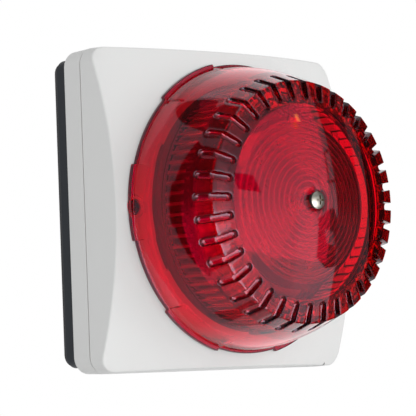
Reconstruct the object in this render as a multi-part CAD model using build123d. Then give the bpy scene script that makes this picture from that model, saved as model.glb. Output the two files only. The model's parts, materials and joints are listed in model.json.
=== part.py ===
from build123d import *
import os
from math import atan, cos, degrees, hypot, radians, sin, sqrt

# Wall-mounted horn strobe: a square two-part housing on a black wall bracket,
# with a castellated red lens over a ribbed inner optic and a ring of LEDs.
#
# Every piece is drawn looking at the front of the device: X to the right, Y up
# and Z out from the wall, so that Z is the depth of a feature.  The function
# stand() then turns the plan upright: the wall is the plane Y = 0, the device
# faces -Y and +Z is up.  All values are millimetres and degrees.

# ---------------------------------------------------------------- housing
PARTING = 25.6            # depth of the seam between rear housing and cover
SEAM = 0.6                # open height of the seam, filled by the cover seal
HOUSING_HALF = 80.0       # half of the square outline at the seam
REAR_HALF = 79.6          # half of the outline at the back of the rear housing
CORNER = 8.5              # corner radius of the housing outline
WALL = 3.0                # wall thickness of the housing mouldings
COVER_DRAFT = 2.63        # draft of the cover walls

GASKET_THICK = 2.0        # foam pad between bracket and wall
GASKET_WINDOW = 88.0
BRACKET_HALF = 76.5
BRACKET_CORNER = 6.0
BRACKET_TOP = 11.9        # depth where the rear housing starts
BRACKET_FLOOR = 2.5
BRACKET_WINDOW = 80.0     # square opening for the cable
BRACKET_RIB_AT = 58.0
BRACKET_BOSS_R = 5.5
WALL_HOLE_PITCH = 100.0   # square pattern of wall fixings
WALL_HOLE_R = 2.6
CORNER_SCREW = 66.5       # X and Y of the screws that hold housing to bracket
CORNER_PILOT_R = 1.7
CABLE_ENTRY = (-26.0, -32.0)
CABLE_ENTRY_R = 10.0
GROMMET_BORE_R = 4.5
STANDOFF_R = 3.6
STANDOFF_PILOT_R = 1.3
INSERT_R = 2.9            # brass inserts that take the cover screws
INSERT_LONG = 7.0

# domed front of the cover: a sphere round a point on the axis
DOME_R = 219.0
DOME_APEX = 63.04
SEAT_DEPTH = 51.0         # flat seat that the lens rests on
SEAT_R = 74.2
SEAT_FOOT_R = 77.4        # foot of the conical step round the seat
OPENING_R = 61.5
FRONT_INNER = SEAT_DEPTH - WALL

# collar round the opening: its lip holds down the foot of the inner optic
COLLAR_R = 63.2
COLLAR_TOP = 54.2
LIP_R = 59.5
LIP_UNDER = 52.2
LIP_RELIEF_R = 60.8       # three long reliefs in the lip
LIP_RELIEF_SPAN = 60.0
LIP_RELIEF_ANGLES = (60, 180, 300)

COVER_SCREW_R = 68.5      # screws at 9 and 3 o'clock, under the lens flange
COVER_SCREW_ANGLES = (0, 180)
COVER_BOSS_R = 4.7
COVER_RECESS_R = 4.1      # counterbore of a screw, in a wider shallow dish
COVER_RECESS_DEPTH = SEAT_DEPTH - 2.6
COVER_DISH_R = 5.7
COVER_DISH_DEPTH = SEAT_DEPTH - 0.9

SOUND_SLOTS = 5
SOUND_SLOT = (10.0, 2.4)
SOUND_SLOT_PITCH = 5.0
SOUND_SLOT_DEPTH = 33.0

# ---------------------------------------------------------------- lens
LENS_TURN = -1.5          # the lens sits turned a little in its round seat
TEETH = 36
GROOVE_WIDTH = 4.0
FLANGE_R = 72.3
FLANGE_THICK = 2.2
TAB_R = 73.8
TAB_COUNT = 6
TAB_SPAN = 29.5
LENS_APEX = 104.9
LENS_FRONT_R = 236.0      # sphere radius of the front face
SKIRT_FOOT = (71.2, SEAT_DEPTH + FLANGE_THICK)
SKIRT_MID = (68.2, 70.5)
GROOVE_REAR = (63.1, 86.5)
SKIRT_TOP = (61.3, 91.5)
RIM_R = 59.3
GROOVE_INNER_R = 49.7
GROOVE_DEEP = 2.9
GROOVE_FLOOR = ((61.0, GROOVE_REAR[1]), (57.6, 93.6))
LENS_WALL = 3.0
LENS_INNER_FOOT = (68.0, SEAT_DEPTH)
LENS_INNER_MID = (65.2, 70.0)
LENS_INNER_SHOULDER = (60.2, 84.6)
LENS_INNER_CORNER = (55.6, 92.0)
LENS_INNER_FACE_R = 47.8
LENS_HOLE_R = 2.35

# ---------------------------------------------------------------- inner optic
OPTIC_R = 59.0
OPTIC_WALL = 2.2
OPTIC_SHOULDER = 84.0     # depth of the shoulder where wall meets dome
OPTIC_APEX = 99.0
OPTIC_DOME_R = 150.0
OPTIC_CROWN_R = 52.0      # where the rounded shoulder runs into the dome
OPTIC_FOOT_R = 60.8
OPTIC_FOOT_THICK = 2.0
OPTIC_BAND_R = 59.25      # plain band between foot and flutes
OPTIC_BAND_TOP = 60.4
FLUTES = 72
FLUTE_DEEP = 0.7
FLUTE_CUTTER_R = 3.6
FLUTE_LOW = 63.0
RINGS = 11
RING_FIRST_R = 6.5
RING_LAST_R = 39.5
RING_DEEP = 0.9

# ---------------------------------------------------------------- light engine
DECK_R = 63.4
DECK_TOP = FRONT_INNER
DECK_THICK = 2.5
DECK_RAISED = 1.0
DECK_EAR_R = 69.4
DECK_EAR_ANGLES = (45, 135, 225, 315)
LED_BOARD_DEPTH = 87.0
LED_BOARD_R = 42.0
BOARD_THICK = 1.6
LED_COUNT = 12
LED_RING_R = 29.0
LED_SCREW_R = 18.0
PEDESTAL_ANGLES = (30, 150, 270)
PEDESTAL_FOOT_R = 26.0
LAMP_AT = (0.0, 40.0)
POST_TOP = 101.6
POST_R = 3.6
POST_BORE_R = 2.1
SCREW_SEAT = 104.2        # depth of the spot face under the lens screw's washer
SCREW_SEAT_R = 5.2
WASHER_R = 4.0
WASHER_THICK = 1.1
LENS_SCREW_HEAD = (4.3, 2.5)
LENS_SCREW_R = 2.0

# ---------------------------------------------------------------- electronics
MAIN_BOARD = (124.0, 80.0)
MAIN_BOARD_Y = 22.0
MAIN_BOARD_DEPTH = 20.9
MAIN_TOP = MAIN_BOARD_DEPTH + BOARD_THICK
STANDOFF = (56.0, 34.0)   # half pitch of the board standoffs
REAR_FLOOR = BRACKET_TOP + WALL
SOUNDER_AT = (55.0, -55.0)
SOUNDER_R = 16.0
SOUNDER_BORE_R = 13.0
SOUNDER_PORT_R = 4.0
SOUNDER_EAR = 19.0        # centre of the capsule to each fixing hole
SOUNDER_LOW = REAR_FLOOR + 2.5
SOUNDER_HIGH = SOUNDER_LOW + 11.5
TERMINAL_WAYS = 6
TERMINAL_PITCH = 5.08
TERMINAL_AT = (-28.0, -11.0)
LEVER_COUNT = 4
LEVER_PITCH = 2.54
LEVER_SLOT = (1.5, 4.6)
LEVER_SIZE = (1.2, 1.8)
LEVER_TRAVEL = 2.4
TONE_SWITCH_AT = (16.0, -9.0)
TRIMMER_AT = (36.0, -9.0)
LINK_AT = (0.0, 44.0)
LINK_WAYS = 6
LINK_TOP = MAIN_TOP + 9.0


# ---------------------------------------------------------------- helpers
def stand(shape):
    """Turn a piece from the flat plan into the upright frame."""
    return Rot(90, 0, 0) * shape


def polar(radius, angle):
    return radius * cos(radians(angle)), radius * sin(radians(angle))


def rod(radius, z0, z1, at=(0, 0)):
    """Round bar along Z from depth z0 to z1."""
    return Pos(at[0], at[1], (z0 + z1) / 2) * Cylinder(radius, z1 - z0)


def tube(outer, inner, z0, z1, at=(0, 0)):
    return rod(outer, z0, z1, at) - rod(inner, z0 - 1, z1 + 1, at)


def slab(width, height, z0, z1, at=(0, 0), corner=0.0):
    """Rectangular plate of given depth range, with optional round corners."""
    outline = RectangleRounded(width, height, corner) if corner else Rectangle(width, height)
    return Pos(at[0], at[1], z0) * extrude(outline, z1 - z0)


def square_prism(half, corner, z0, z1, draft=0.0):
    """Rounded square prism that narrows by the draft angle as it rises."""
    return Pos(0, 0, z0) * extrude(RectangleRounded(2 * half, 2 * half, corner), z1 - z0, taper=draft)


def turned(face):
    """Solid of revolution of a face drawn as (radius, depth)."""
    return revolve(Plane.XZ * face, Axis.Z)


def dome_depth(radius, sphere=DOME_R, apex=DOME_APEX):
    return apex - sphere + sqrt(sphere * sphere - radius * radius)


def dome_arc(r0, r1, sphere, apex):
    """Arc of a dome from radius r0 to radius r1, drawn as (radius, depth)."""
    middle = (r0 + r1) / 2
    return ThreePointArc(*[(r, dome_depth(r, sphere, apex)) for r in (r0, middle, r1)])


def around(shape, angles):
    return [Rot(0, 0, a) * shape for a in angles]


def pan_screw(head_r, head_high, shank_r, length):
    """Domed pan head screw with a cross recess; its head stands on Z = 0, its shank below."""
    side = (head_r, head_high * 0.42)
    outline = Polyline((0, head_high), (0, 0), (head_r * 0.86, 0), side)
    outline += ThreePointArc(side, (head_r * 0.66, head_high * 0.86), (0, head_high))
    cross = Box(head_r * 1.05, head_r * 0.22, head_high) + Box(head_r * 0.22, head_r * 1.05, head_high)
    return turned(make_face(outline)) + rod(shank_r, -length, 0.01) - Pos(0, 0, head_high) * cross


def small_screw(head_r, head_high, shank_r, length):
    """Small self-tapping screw with a chamfered head and one slot."""
    head = chamfer(rod(head_r, 0, head_high).edges().group_by(Axis.Z)[-1], head_high * 0.3)
    return head + rod(shank_r, -length, 0.01) - Pos(0, 0, head_high) * Box(2 * head_r, head_r * 0.3, head_high)


def sounder_ears():
    """The two fixing points of the sounder, across the housing's diagonal."""
    return [(SOUNDER_AT[0] + x, SOUNDER_AT[1] + y)
            for x, y in (polar(SOUNDER_EAR, 45), polar(SOUNDER_EAR, 225))]


# ---------------------------------------------------------------- wall side
def wall_gasket():
    """Foam pad with a square window and the wall holes."""
    pad = square_prism(BRACKET_HALF - 0.8, BRACKET_CORNER, 0, GASKET_THICK)
    pad -= slab(GASKET_WINDOW, GASKET_WINDOW, -1, GASKET_THICK + 1, corner=BRACKET_CORNER + 2)
    half = WALL_HOLE_PITCH / 2
    for x in (-half, half):
        for y in (-half, half):
            pad -= rod(WALL_HOLE_R, -1, GASKET_THICK + 1, (x, y))
    return pad


def wall_bracket():
    """Black tray with wall holes, corner bosses and a central cable window."""
    tray = square_prism(BRACKET_HALF, BRACKET_CORNER, GASKET_THICK, BRACKET_TOP)
    tray = fillet(tray.edges().group_by(Axis.Z)[0], 0.8)
    floor_top = GASKET_THICK + BRACKET_FLOOR
    tray -= square_prism(BRACKET_HALF - WALL, BRACKET_CORNER - WALL, floor_top, BRACKET_TOP + 1)
    rib = slab(2 * (BRACKET_HALF - WALL), 2.0, floor_top, BRACKET_TOP - 1.5, (0, BRACKET_RIB_AT))
    for rib_copy in around(rib, range(0, 360, 90)):
        tray += rib_copy
    for x in (-CORNER_SCREW, CORNER_SCREW):
        for y in (-CORNER_SCREW, CORNER_SCREW):
            tray += rod(BRACKET_BOSS_R, floor_top, BRACKET_TOP, (x, y))
            tray -= rod(CORNER_PILOT_R, floor_top + 0.5, BRACKET_TOP + 1, (x, y))
    tray -= slab(BRACKET_WINDOW, BRACKET_WINDOW, 0, floor_top + 1, corner=BRACKET_CORNER)
    half = WALL_HOLE_PITCH / 2
    for x in (-half, half):
        for y in (-half, half):
            tray -= rod(WALL_HOLE_R, 0, floor_top + 1, (x, y))
    return tray


def bracket_screws():
    screw = Pos(0, 0, REAR_FLOOR) * small_screw(3.6, 2.2, 1.65, 9.0)
    return [Pos(x, y, 0) * screw for x in (-CORNER_SCREW, CORNER_SCREW) for y in (-CORNER_SCREW, CORNER_SCREW)]


# ---------------------------------------------------------------- rear housing
def rear_housing():
    """Rear moulding: floor, widening walls, standoffs and cover screw bosses."""
    top = PARTING - SEAM / 2
    widening = degrees(atan((HOUSING_HALF - REAR_HALF) / (top - BRACKET_TOP)))
    shell = square_prism(REAR_HALF, CORNER, BRACKET_TOP, top, draft=-widening)
    shell = fillet(shell.edges().group_by(Axis.Z)[0], 1.2)
    shell -= square_prism(REAR_HALF - WALL, CORNER - WALL, REAR_FLOOR, top + 1)
    for sx in (-1, 1):
        for sy in (-1, 1):
            at = (sx * STANDOFF[0], MAIN_BOARD_Y + sy * STANDOFF[1])
            shell += rod(STANDOFF_R, REAR_FLOOR, MAIN_BOARD_DEPTH, at)
            shell -= rod(STANDOFF_PILOT_R, REAR_FLOOR + 0.5, MAIN_BOARD_DEPTH + 1, at)
            shell -= rod(2.0, BRACKET_TOP - 1, REAR_FLOOR + 1, (sx * CORNER_SCREW, sy * CORNER_SCREW))
    for angle in COVER_SCREW_ANGLES:
        at = polar(COVER_SCREW_R, angle)
        shell += rod(COVER_BOSS_R, REAR_FLOOR, top, at)
        shell -= rod(INSERT_R, top - INSERT_LONG, top + 1, at)
    for at in sounder_ears():
        shell += rod(2.8, REAR_FLOOR, SOUNDER_LOW, at)
        shell -= rod(1.1, REAR_FLOOR + 0.1, SOUNDER_LOW + 1, at)
    shell += tube(CABLE_ENTRY_R + 2.5, CABLE_ENTRY_R, REAR_FLOOR, REAR_FLOOR + 1.0, CABLE_ENTRY)
    shell -= rod(CABLE_ENTRY_R, BRACKET_TOP - 1, REAR_FLOOR + 2, CABLE_ENTRY)
    return shell


def thread_inserts():
    top = PARTING - SEAM / 2
    insert = tube(INSERT_R, 2.05, top - INSERT_LONG, top)
    return [Pos(*polar(COVER_SCREW_R, a), 0) * insert for a in COVER_SCREW_ANGLES]


def cable_grommet():
    """Rubber grommet: a grooved ring that grips the edge of the cable entry."""
    lip = CABLE_ENTRY_R + 2.0
    neck = CABLE_ENTRY_R
    bore = GROMMET_BORE_R
    low = BRACKET_TOP - 1.6
    high = REAR_FLOOR + 1.0
    outline = Polyline(
        (bore, low), (lip, low), (lip, BRACKET_TOP), (neck, BRACKET_TOP),
        (neck, high), (lip, high), (lip - 0.8, high + 1.6), (bore, high + 1.6), close=True)
    return Pos(CABLE_ENTRY[0], CABLE_ENTRY[1], 0) * turned(make_face(outline))


def cover_seal():
    """Thin square ring that fills the seam between the two mouldings."""
    low = PARTING - SEAM / 2
    high = PARTING + SEAM / 2
    half = HOUSING_HALF - 0.5
    ring = square_prism(half, CORNER - 0.5, low, high)
    return ring - square_prism(half - 2.2, CORNER - 2.7, low - 1, high + 1)


# ---------------------------------------------------------------- electronics
def main_board():
    board = slab(*MAIN_BOARD, MAIN_BOARD_DEPTH, MAIN_TOP, (0, MAIN_BOARD_Y), corner=3)
    for sx in (-1, 1):
        for sy in (-1, 1):
            at = (sx * STANDOFF[0], MAIN_BOARD_Y + sy * STANDOFF[1])
            board -= rod(1.7, MAIN_BOARD_DEPTH - 1, MAIN_TOP + 1, at)
    return board


def board_screws():
    screw = Pos(0, 0, MAIN_TOP) * small_screw(2.8, 1.8, 1.25, 6.5)
    spots = [(sx * STANDOFF[0], MAIN_BOARD_Y + sy * STANDOFF[1]) for sx in (-1, 1) for sy in (-1, 1)]
    return [Pos(x, y, 0) * screw for x, y in spots]


def terminal_places():
    first = TERMINAL_AT[0] - TERMINAL_PITCH * (TERMINAL_WAYS - 1) / 2
    return [(first + i * TERMINAL_PITCH, TERMINAL_AT[1]) for i in range(TERMINAL_WAYS)]


def terminal_block():
    """Screw terminal strip with a wire mouth and a screw well for each way."""
    block = slab(TERMINAL_WAYS * TERMINAL_PITCH, 9.0, MAIN_TOP, MAIN_TOP + 10, TERMINAL_AT)
    edge = block.edges().filter_by(Axis.X).group_by(Axis.Z)[-1]
    block = chamfer(edge, 1.8)
    for x, y in terminal_places():
        block -= rod(1.9, MAIN_TOP + 5.5, MAIN_TOP + 11, (x, y))
        block -= Pos(x, y - 3.5, MAIN_TOP + 3.0) * Box(3.4, 4.0, 3.4)
    return block


def terminal_screws():
    screw = rod(1.8, MAIN_TOP + 5.5, MAIN_TOP + 7.5)
    screw -= Pos(0, 0, MAIN_TOP + 7.5) * Box(5, 0.6, 1.4)
    return [Pos(x, y, 0) * screw for x, y in terminal_places()]


def lever_places():
    first = TONE_SWITCH_AT[0] - LEVER_PITCH * (LEVER_COUNT - 1) / 2
    return [first + i * LEVER_PITCH for i in range(LEVER_COUNT)]


def tone_switch():
    """Four-way slide switch body; each way has a slot for its lever."""
    body = slab(LEVER_COUNT * LEVER_PITCH + 1.4, 8.0, MAIN_TOP, MAIN_TOP + 4.0, TONE_SWITCH_AT)
    for x in lever_places():
        body -= Pos(x, TONE_SWITCH_AT[1], MAIN_TOP + 3.2) * Box(LEVER_SLOT[0], LEVER_SLOT[1], 3.0)
    return body


def tone_lever(x):
    """Lever at the lower end of its slot."""
    y = TONE_SWITCH_AT[1] - LEVER_TRAVEL / 2
    return slab(LEVER_SIZE[0], LEVER_SIZE[1], MAIN_TOP + 1.8, MAIN_TOP + 5.0, (x, y))


def volume_trimmer():
    case = slab(9.5, 9.5, MAIN_TOP, MAIN_TOP + 5.0, TRIMMER_AT)
    return case - rod(3.2, MAIN_TOP + 2.5, MAIN_TOP + 6, TRIMMER_AT)


def trimmer_rotor():
    rotor = rod(3.1, MAIN_TOP + 2.6, MAIN_TOP + 5.6, TRIMMER_AT)
    rotor -= Pos(TRIMMER_AT[0], TRIMMER_AT[1], MAIN_TOP + 5.6) * Box(4.8, 0.8, 1.6)
    return rotor - Pos(TRIMMER_AT[0], TRIMMER_AT[1] + 2.0, MAIN_TOP + 5.6) * Box(0.8, 2.4, 1.6)


def capacitors():
    places = [(-46, 22, 5.0, 14.0), (-34, 22, 5.0, 14.0), (40, 34, 4.0, 11.0)]
    cans = []
    for x, y, radius, tall in places:
        can = rod(radius, MAIN_TOP, MAIN_TOP + tall, (x, y))
        cans.append(fillet(can.edges().group_by(Axis.Z)[-1], 0.6))
    return cans


def boost_choke():
    """Drum-core choke that lifts the supply voltage for the sounder."""
    outline = Polyline((0, 0), (7, 0), (7, 1.6), (5, 1.6), (5, 7.4), (7, 7.4), (7, 9), (0, 9), close=True)
    return Pos(40, 12, MAIN_TOP) * turned(make_face(outline))


def control_chips():
    return [slab(14, 14, MAIN_TOP, MAIN_TOP + 1.4, (-12, 20)),
            slab(6, 5, MAIN_TOP, MAIN_TOP + 1.2, (12, 22)),
            slab(6, 5, MAIN_TOP, MAIN_TOP + 1.2, (12, 10))]


def link_pins_x():
    return [LINK_AT[0] + (i - (LINK_WAYS - 1) / 2) * 2.54 for i in range(LINK_WAYS)]


def link_socket():
    body = slab(LINK_WAYS * 2.54 + 1, 5.0, MAIN_TOP, LINK_TOP, LINK_AT)
    for x in link_pins_x():
        body -= rod(0.75, MAIN_TOP + 2, LINK_TOP + 1, (x, LINK_AT[1]))
    return body


def link_plug():
    """Plug under the deck; its pins reach into the socket on the main board."""
    body = slab(LINK_WAYS * 2.54 + 1, 5.0, LINK_TOP + 0.5, DECK_TOP - DECK_THICK, LINK_AT)
    for x in link_pins_x():
        body += rod(0.4, LINK_TOP - 5.0, LINK_TOP + 1.0, (x, LINK_AT[1]))
    return body


def sounder():
    """Piezo sounder capsule with two fixing ears and a sound port."""
    case = rod(SOUNDER_R, SOUNDER_LOW, SOUNDER_HIGH)
    case = fillet(case.edges().group_by(Axis.Z)[-1], 1.5)
    case += slab(44.0, 6.0, SOUNDER_LOW, SOUNDER_LOW + 2.0, corner=2.9)
    case -= rod(SOUNDER_BORE_R, SOUNDER_LOW + 2.4, SOUNDER_HIGH - 1.6)
    case -= rod(SOUNDER_PORT_R, SOUNDER_HIGH - 3, SOUNDER_HIGH + 1)
    for sx in (-1, 1):
        case -= rod(1.3, SOUNDER_LOW - 1, SOUNDER_LOW + 3, (sx * SOUNDER_EAR, 0))
    return Pos(*SOUNDER_AT, 0) * Rot(0, 0, 45) * case


def sounder_disc():
    """Brass bender disc clamped inside the capsule."""
    return rod(SOUNDER_BORE_R - 0.05, SOUNDER_LOW + 5.0, SOUNDER_LOW + 5.6, SOUNDER_AT)


def sounder_screws():
    screw = Pos(0, 0, SOUNDER_LOW + 2.0) * small_screw(2.4, 1.6, 1.05, 4.3)
    return [Pos(x, y, 0) * screw for x, y in sounder_ears()]


# ---------------------------------------------------------------- front cover
def cover_profile(inset=0.0):
    """Front of the cover from the axis to beyond its corners, as a face."""
    seat = SEAT_DEPTH - inset
    far = 118.0
    sphere = DOME_R - inset
    apex = DOME_APEX - inset
    foot = SEAT_FOOT_R - inset * 0.3
    rim = SEAT_R - inset * 0.3
    line = Polyline((0, 0), (0, seat), (rim, seat), (foot, dome_depth(foot, sphere, apex)))
    line += dome_arc(foot, far, sphere, apex)
    line += Polyline((far, dome_depth(far, sphere, apex)), (far, 0), (0, 0))
    return make_face(line)


def collar():
    """Ring round the opening with an inward lip and three long reliefs in it."""
    outline = Polyline((OPENING_R, FRONT_INNER), (COLLAR_R, FRONT_INNER), (COLLAR_R, COLLAR_TOP - 0.5),
                       (COLLAR_R - 0.5, COLLAR_TOP), (LIP_R, COLLAR_TOP), (LIP_R, LIP_UNDER), (OPENING_R, LIP_UNDER),
                       close=True)
    ring = turned(make_face(outline))
    relief = make_face(Polyline((LIP_R - 1, LIP_UNDER - 0.1), (LIP_RELIEF_R, LIP_UNDER - 0.1),
                                (LIP_RELIEF_R, COLLAR_TOP + 1), (LIP_R - 1, COLLAR_TOP + 1), close=True))
    cutter = Rot(0, 0, -LIP_RELIEF_SPAN / 2) * revolve(Plane.XZ * relief, Axis.Z, LIP_RELIEF_SPAN)
    return ring - around(cutter, LIP_RELIEF_ANGLES)


def front_cover():
    """Domed square cover with a round seat, opening and sound slots."""
    base = PARTING + SEAM / 2
    outer = square_prism(HOUSING_HALF, CORNER, base, base + 38, COVER_DRAFT) & turned(cover_profile())
    rim = [e for e in outer.edges()
           if e.center().Z > 30 and hypot(e.center().X, e.center().Y) > 77.9 and e.geom_type != GeomType.LINE]
    outer = fillet(rim, 1.3)
    inner = square_prism(HOUSING_HALF - WALL, CORNER - WALL, base - 1, base + 36, COVER_DRAFT)
    cover = outer - (inner & turned(cover_profile(WALL)))
    cover -= rod(OPENING_R, base, SEAT_DEPTH + 1)
    cover += collar()
    for angle in COVER_SCREW_ANGLES:
        at = polar(COVER_SCREW_R, angle)
        cover += rod(COVER_BOSS_R, base, FRONT_INNER + 0.5, at)
        cover -= rod(COVER_DISH_R, COVER_DISH_DEPTH, SEAT_DEPTH + 1, at)
        cover -= rod(COVER_RECESS_R, COVER_RECESS_DEPTH, SEAT_DEPTH + 1, at)
        cover -= rod(2.2, base - 1, SEAT_DEPTH, at)
    for angle in DECK_EAR_ANGLES:
        cover -= rod(1.2, FRONT_INNER - 1, SEAT_DEPTH - 1.0, polar(DECK_EAR_R, angle))
    slot = extrude(SlotOverall(*SOUND_SLOT, rotation=90), WALL + 2, both=True)
    for i in range(SOUND_SLOTS):
        x = SOUNDER_AT[0] + (i - (SOUND_SLOTS - 1) / 2) * SOUND_SLOT_PITCH
        cover -= Pos(x, -HOUSING_HALF, SOUND_SLOT_DEPTH) * Rot(90, 0, 0) * slot
    return cover


def cover_screws():
    screw = Pos(0, 0, COVER_RECESS_DEPTH) * pan_screw(3.7, 2.3, 1.95, COVER_RECESS_DEPTH - PARTING + 5.5)
    return [Pos(*polar(COVER_SCREW_R, a), 0) * screw for a in COVER_SCREW_ANGLES]


def lens_seal():
    """O-ring on the foot of the inner optic, under the collar's lip."""
    foot_top = DECK_TOP + DECK_RAISED + OPTIC_FOOT_THICK
    section_r = (LIP_UNDER - foot_top) / 2 - 0.02
    return Pos(0, 0, (LIP_UNDER + foot_top) / 2) * Torus(OPTIC_BAND_R + section_r + 0.1, section_r)


# ---------------------------------------------------------------- light engine
def deck():
    """Round deck that closes the cover opening and carries the light."""
    low = DECK_TOP - DECK_THICK
    plate = rod(DECK_R, low, DECK_TOP) + rod(OPENING_R - 0.3, low, DECK_TOP + DECK_RAISED)
    for angle in DECK_EAR_ANGLES:
        ear = slab(16.0, 7.6, low, DECK_TOP, (DECK_EAR_R - 4.4, 0), corner=3.7)
        plate += Rot(0, 0, angle) * ear
    for angle in DECK_EAR_ANGLES:
        plate -= rod(1.5, low - 1, DECK_TOP + 1, polar(DECK_EAR_R, angle))
    for angle in PEDESTAL_ANGLES:
        plate -= rod(1.6, low - 1, DECK_TOP + DECK_RAISED + 1, polar(PEDESTAL_FOOT_R, angle))
    return plate


def deck_screws():
    low = DECK_TOP - DECK_THICK
    screw = Pos(0, 0, low) * Rot(180, 0, 0) * small_screw(2.6, 1.7, 1.15, 4.3)
    return [Pos(*polar(DECK_EAR_R, a), 0) * screw for a in DECK_EAR_ANGLES]


def led_pedestal():
    """Turned and ribbed column that holds the LED board up in the optic."""
    low = DECK_TOP + DECK_RAISED
    top = LED_BOARD_DEPTH
    outline = Polyline((0, low), (31, low), (31, low + 3), (14, low + 6), (12, top - 8),
                       (38, top - 2.5), (38, top), (0, top), close=True)
    column = turned(make_face(outline))
    rib = make_face(Polyline((8, low + 1), (29, low + 1), (29, low + 3), (20, top - 10), (34, top - 2), (8, top - 2),
                             close=True))
    web = extrude(Plane.XZ * rib, 1.0, both=True)
    for web_copy in around(web, range(0, 360, 60)):
        column += web_copy
    column -= rod(2.2, low - 1, top + 1)
    for angle in PEDESTAL_ANGLES:
        column -= rod(1.2, low - 1, low + 2.6, polar(PEDESTAL_FOOT_R, angle))
        column -= rod(1.1, top - 5, top + 1, polar(LED_SCREW_R, angle))
    return column


def pedestal_screws():
    low = DECK_TOP - DECK_THICK
    screw = Pos(0, 0, low) * Rot(180, 0, 0) * small_screw(2.6, 1.7, 1.15, 5.6)
    return [Pos(*polar(PEDESTAL_FOOT_R, a), 0) * screw for a in PEDESTAL_ANGLES]


def led_board():
    top = LED_BOARD_DEPTH + BOARD_THICK
    board = tube(LED_BOARD_R, 2.4, LED_BOARD_DEPTH, top)
    for angle in PEDESTAL_ANGLES:
        board -= rod(1.3, LED_BOARD_DEPTH - 1, top + 1, polar(LED_SCREW_R, angle))
    return board


def led_screws():
    screw = Pos(0, 0, LED_BOARD_DEPTH + BOARD_THICK) * small_screw(2.1, 1.2, 1.05, 5.5)
    return [Pos(*polar(LED_SCREW_R, a), 0) * screw for a in PEDESTAL_ANGLES]


def leds():
    """White power LEDs: a square package with a small domed window."""
    low = LED_BOARD_DEPTH + BOARD_THICK
    package = slab(4.6, 4.6, low, low + 0.9) + Pos(0, 0, low + 0.4) * Sphere(1.7)
    package &= slab(5, 5, low, low + 3)
    step = 360 / LED_COUNT
    return around(Pos(LED_RING_R, 0, 0) * package, [15 + i * step for i in range(LED_COUNT)])


def led_drivers():
    """Driver parts beside the LED ring: a pair of coils and a chip on each side."""
    low = LED_BOARD_DEPTH + BOARD_THICK
    sides = (5, 185)
    outer_coil = slab(2.4, 7.4, low, low + 3.2, (35.4, 0))
    inner_coil = slab(2.4, 7.4, low, low + 3.2, (22.0, 0))
    chip = slab(4.0, 3.0, low, low + 1.2, (17.0, 0))
    return around(outer_coil, sides) + around(inner_coil, sides) + around(chip, sides)


def status_lamp():
    """Amber lamp at the top of the LED board: a block with a round dome."""
    low = LED_BOARD_DEPTH + BOARD_THICK
    block = slab(4.2, 3.4, low, low + 0.9, LAMP_AT)
    dome = Sphere(1.4) & Pos(0, 0, 1) * Box(4, 4, 2)
    return block + Pos(*LAMP_AT, low + 0.9) * dome


def centre_post():
    """Threaded brass post that takes the lens screw."""
    low = LED_BOARD_DEPTH + BOARD_THICK
    post = Pos(0, 0, low) * extrude(RegularPolygon(POST_R, 6), POST_TOP - low)
    post += rod(2.15, low - 6, low)
    return post - rod(POST_BORE_R, low + 2, POST_TOP + 1)


def optic_dome(radius, drop=0.0):
    return dome_depth(radius, OPTIC_DOME_R, OPTIC_APEX) - drop


def ring_points():
    """Saw-tooth steps of the concentric rings, as (radius, depth) points."""
    step = (RING_LAST_R - RING_FIRST_R) / RINGS
    points = []
    for i in range(RINGS):
        inner = RING_FIRST_R + i * step
        outer = inner + step
        points.append((inner, optic_dome(inner)))
        points.append((outer - 0.25, optic_dome(outer, RING_DEEP)))
    points.append((RING_LAST_R, optic_dome(RING_LAST_R)))
    return points


def inner_optic():
    """Clear cup: fluted round wall and a shallow dome with concentric rings."""
    foot = DECK_TOP + DECK_RAISED
    foot_top = foot + OPTIC_FOOT_THICK
    wall_in = OPTIC_R - OPTIC_WALL
    hole = POST_R + 0.6
    crown = OPTIC_CROWN_R
    outline = Polyline((wall_in, foot), (OPTIC_FOOT_R, foot), (OPTIC_FOOT_R, foot_top), (OPTIC_BAND_R, foot_top),
                       (OPTIC_BAND_R, OPTIC_BAND_TOP), (OPTIC_R, OPTIC_BAND_TOP + 0.25), (OPTIC_R, OPTIC_SHOULDER - 2))
    outline += Spline((OPTIC_R, OPTIC_SHOULDER - 2), (57.2, 86.2), (crown, optic_dome(crown)),
                      tangents=[(0, 1), (-1, crown / sqrt(OPTIC_DOME_R ** 2 - crown ** 2))])
    outline += dome_arc(crown, RING_LAST_R, OPTIC_DOME_R, OPTIC_APEX)
    steps = list(reversed(ring_points()))
    inner_dome = (OPTIC_DOME_R - OPTIC_WALL, OPTIC_APEX - OPTIC_WALL)
    inner_crown = crown - 2
    outline += Polyline(*steps, (hole, optic_dome(hole)), (hole, dome_depth(hole, *inner_dome)))
    outline += dome_arc(hole, inner_crown, *inner_dome)
    outline += Polyline((inner_crown, dome_depth(inner_crown, *inner_dome)), (wall_in, OPTIC_SHOULDER - 2.4),
                        (wall_in, foot))
    cup = turned(make_face(outline))
    flute_long = OPTIC_SHOULDER - 3.0 - FLUTE_LOW
    cutter = Pos(OPTIC_R + FLUTE_CUTTER_R - FLUTE_DEEP, 0, FLUTE_LOW) * extrude(Circle(FLUTE_CUTTER_R), flute_long)
    return cup - around(cutter, [(i + 0.5) * 360 / FLUTES for i in range(FLUTES)])


# ---------------------------------------------------------------- lens
def lens_front(radius, drop=0.0):
    return dome_depth(radius, LENS_FRONT_R, LENS_APEX) - drop


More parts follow.
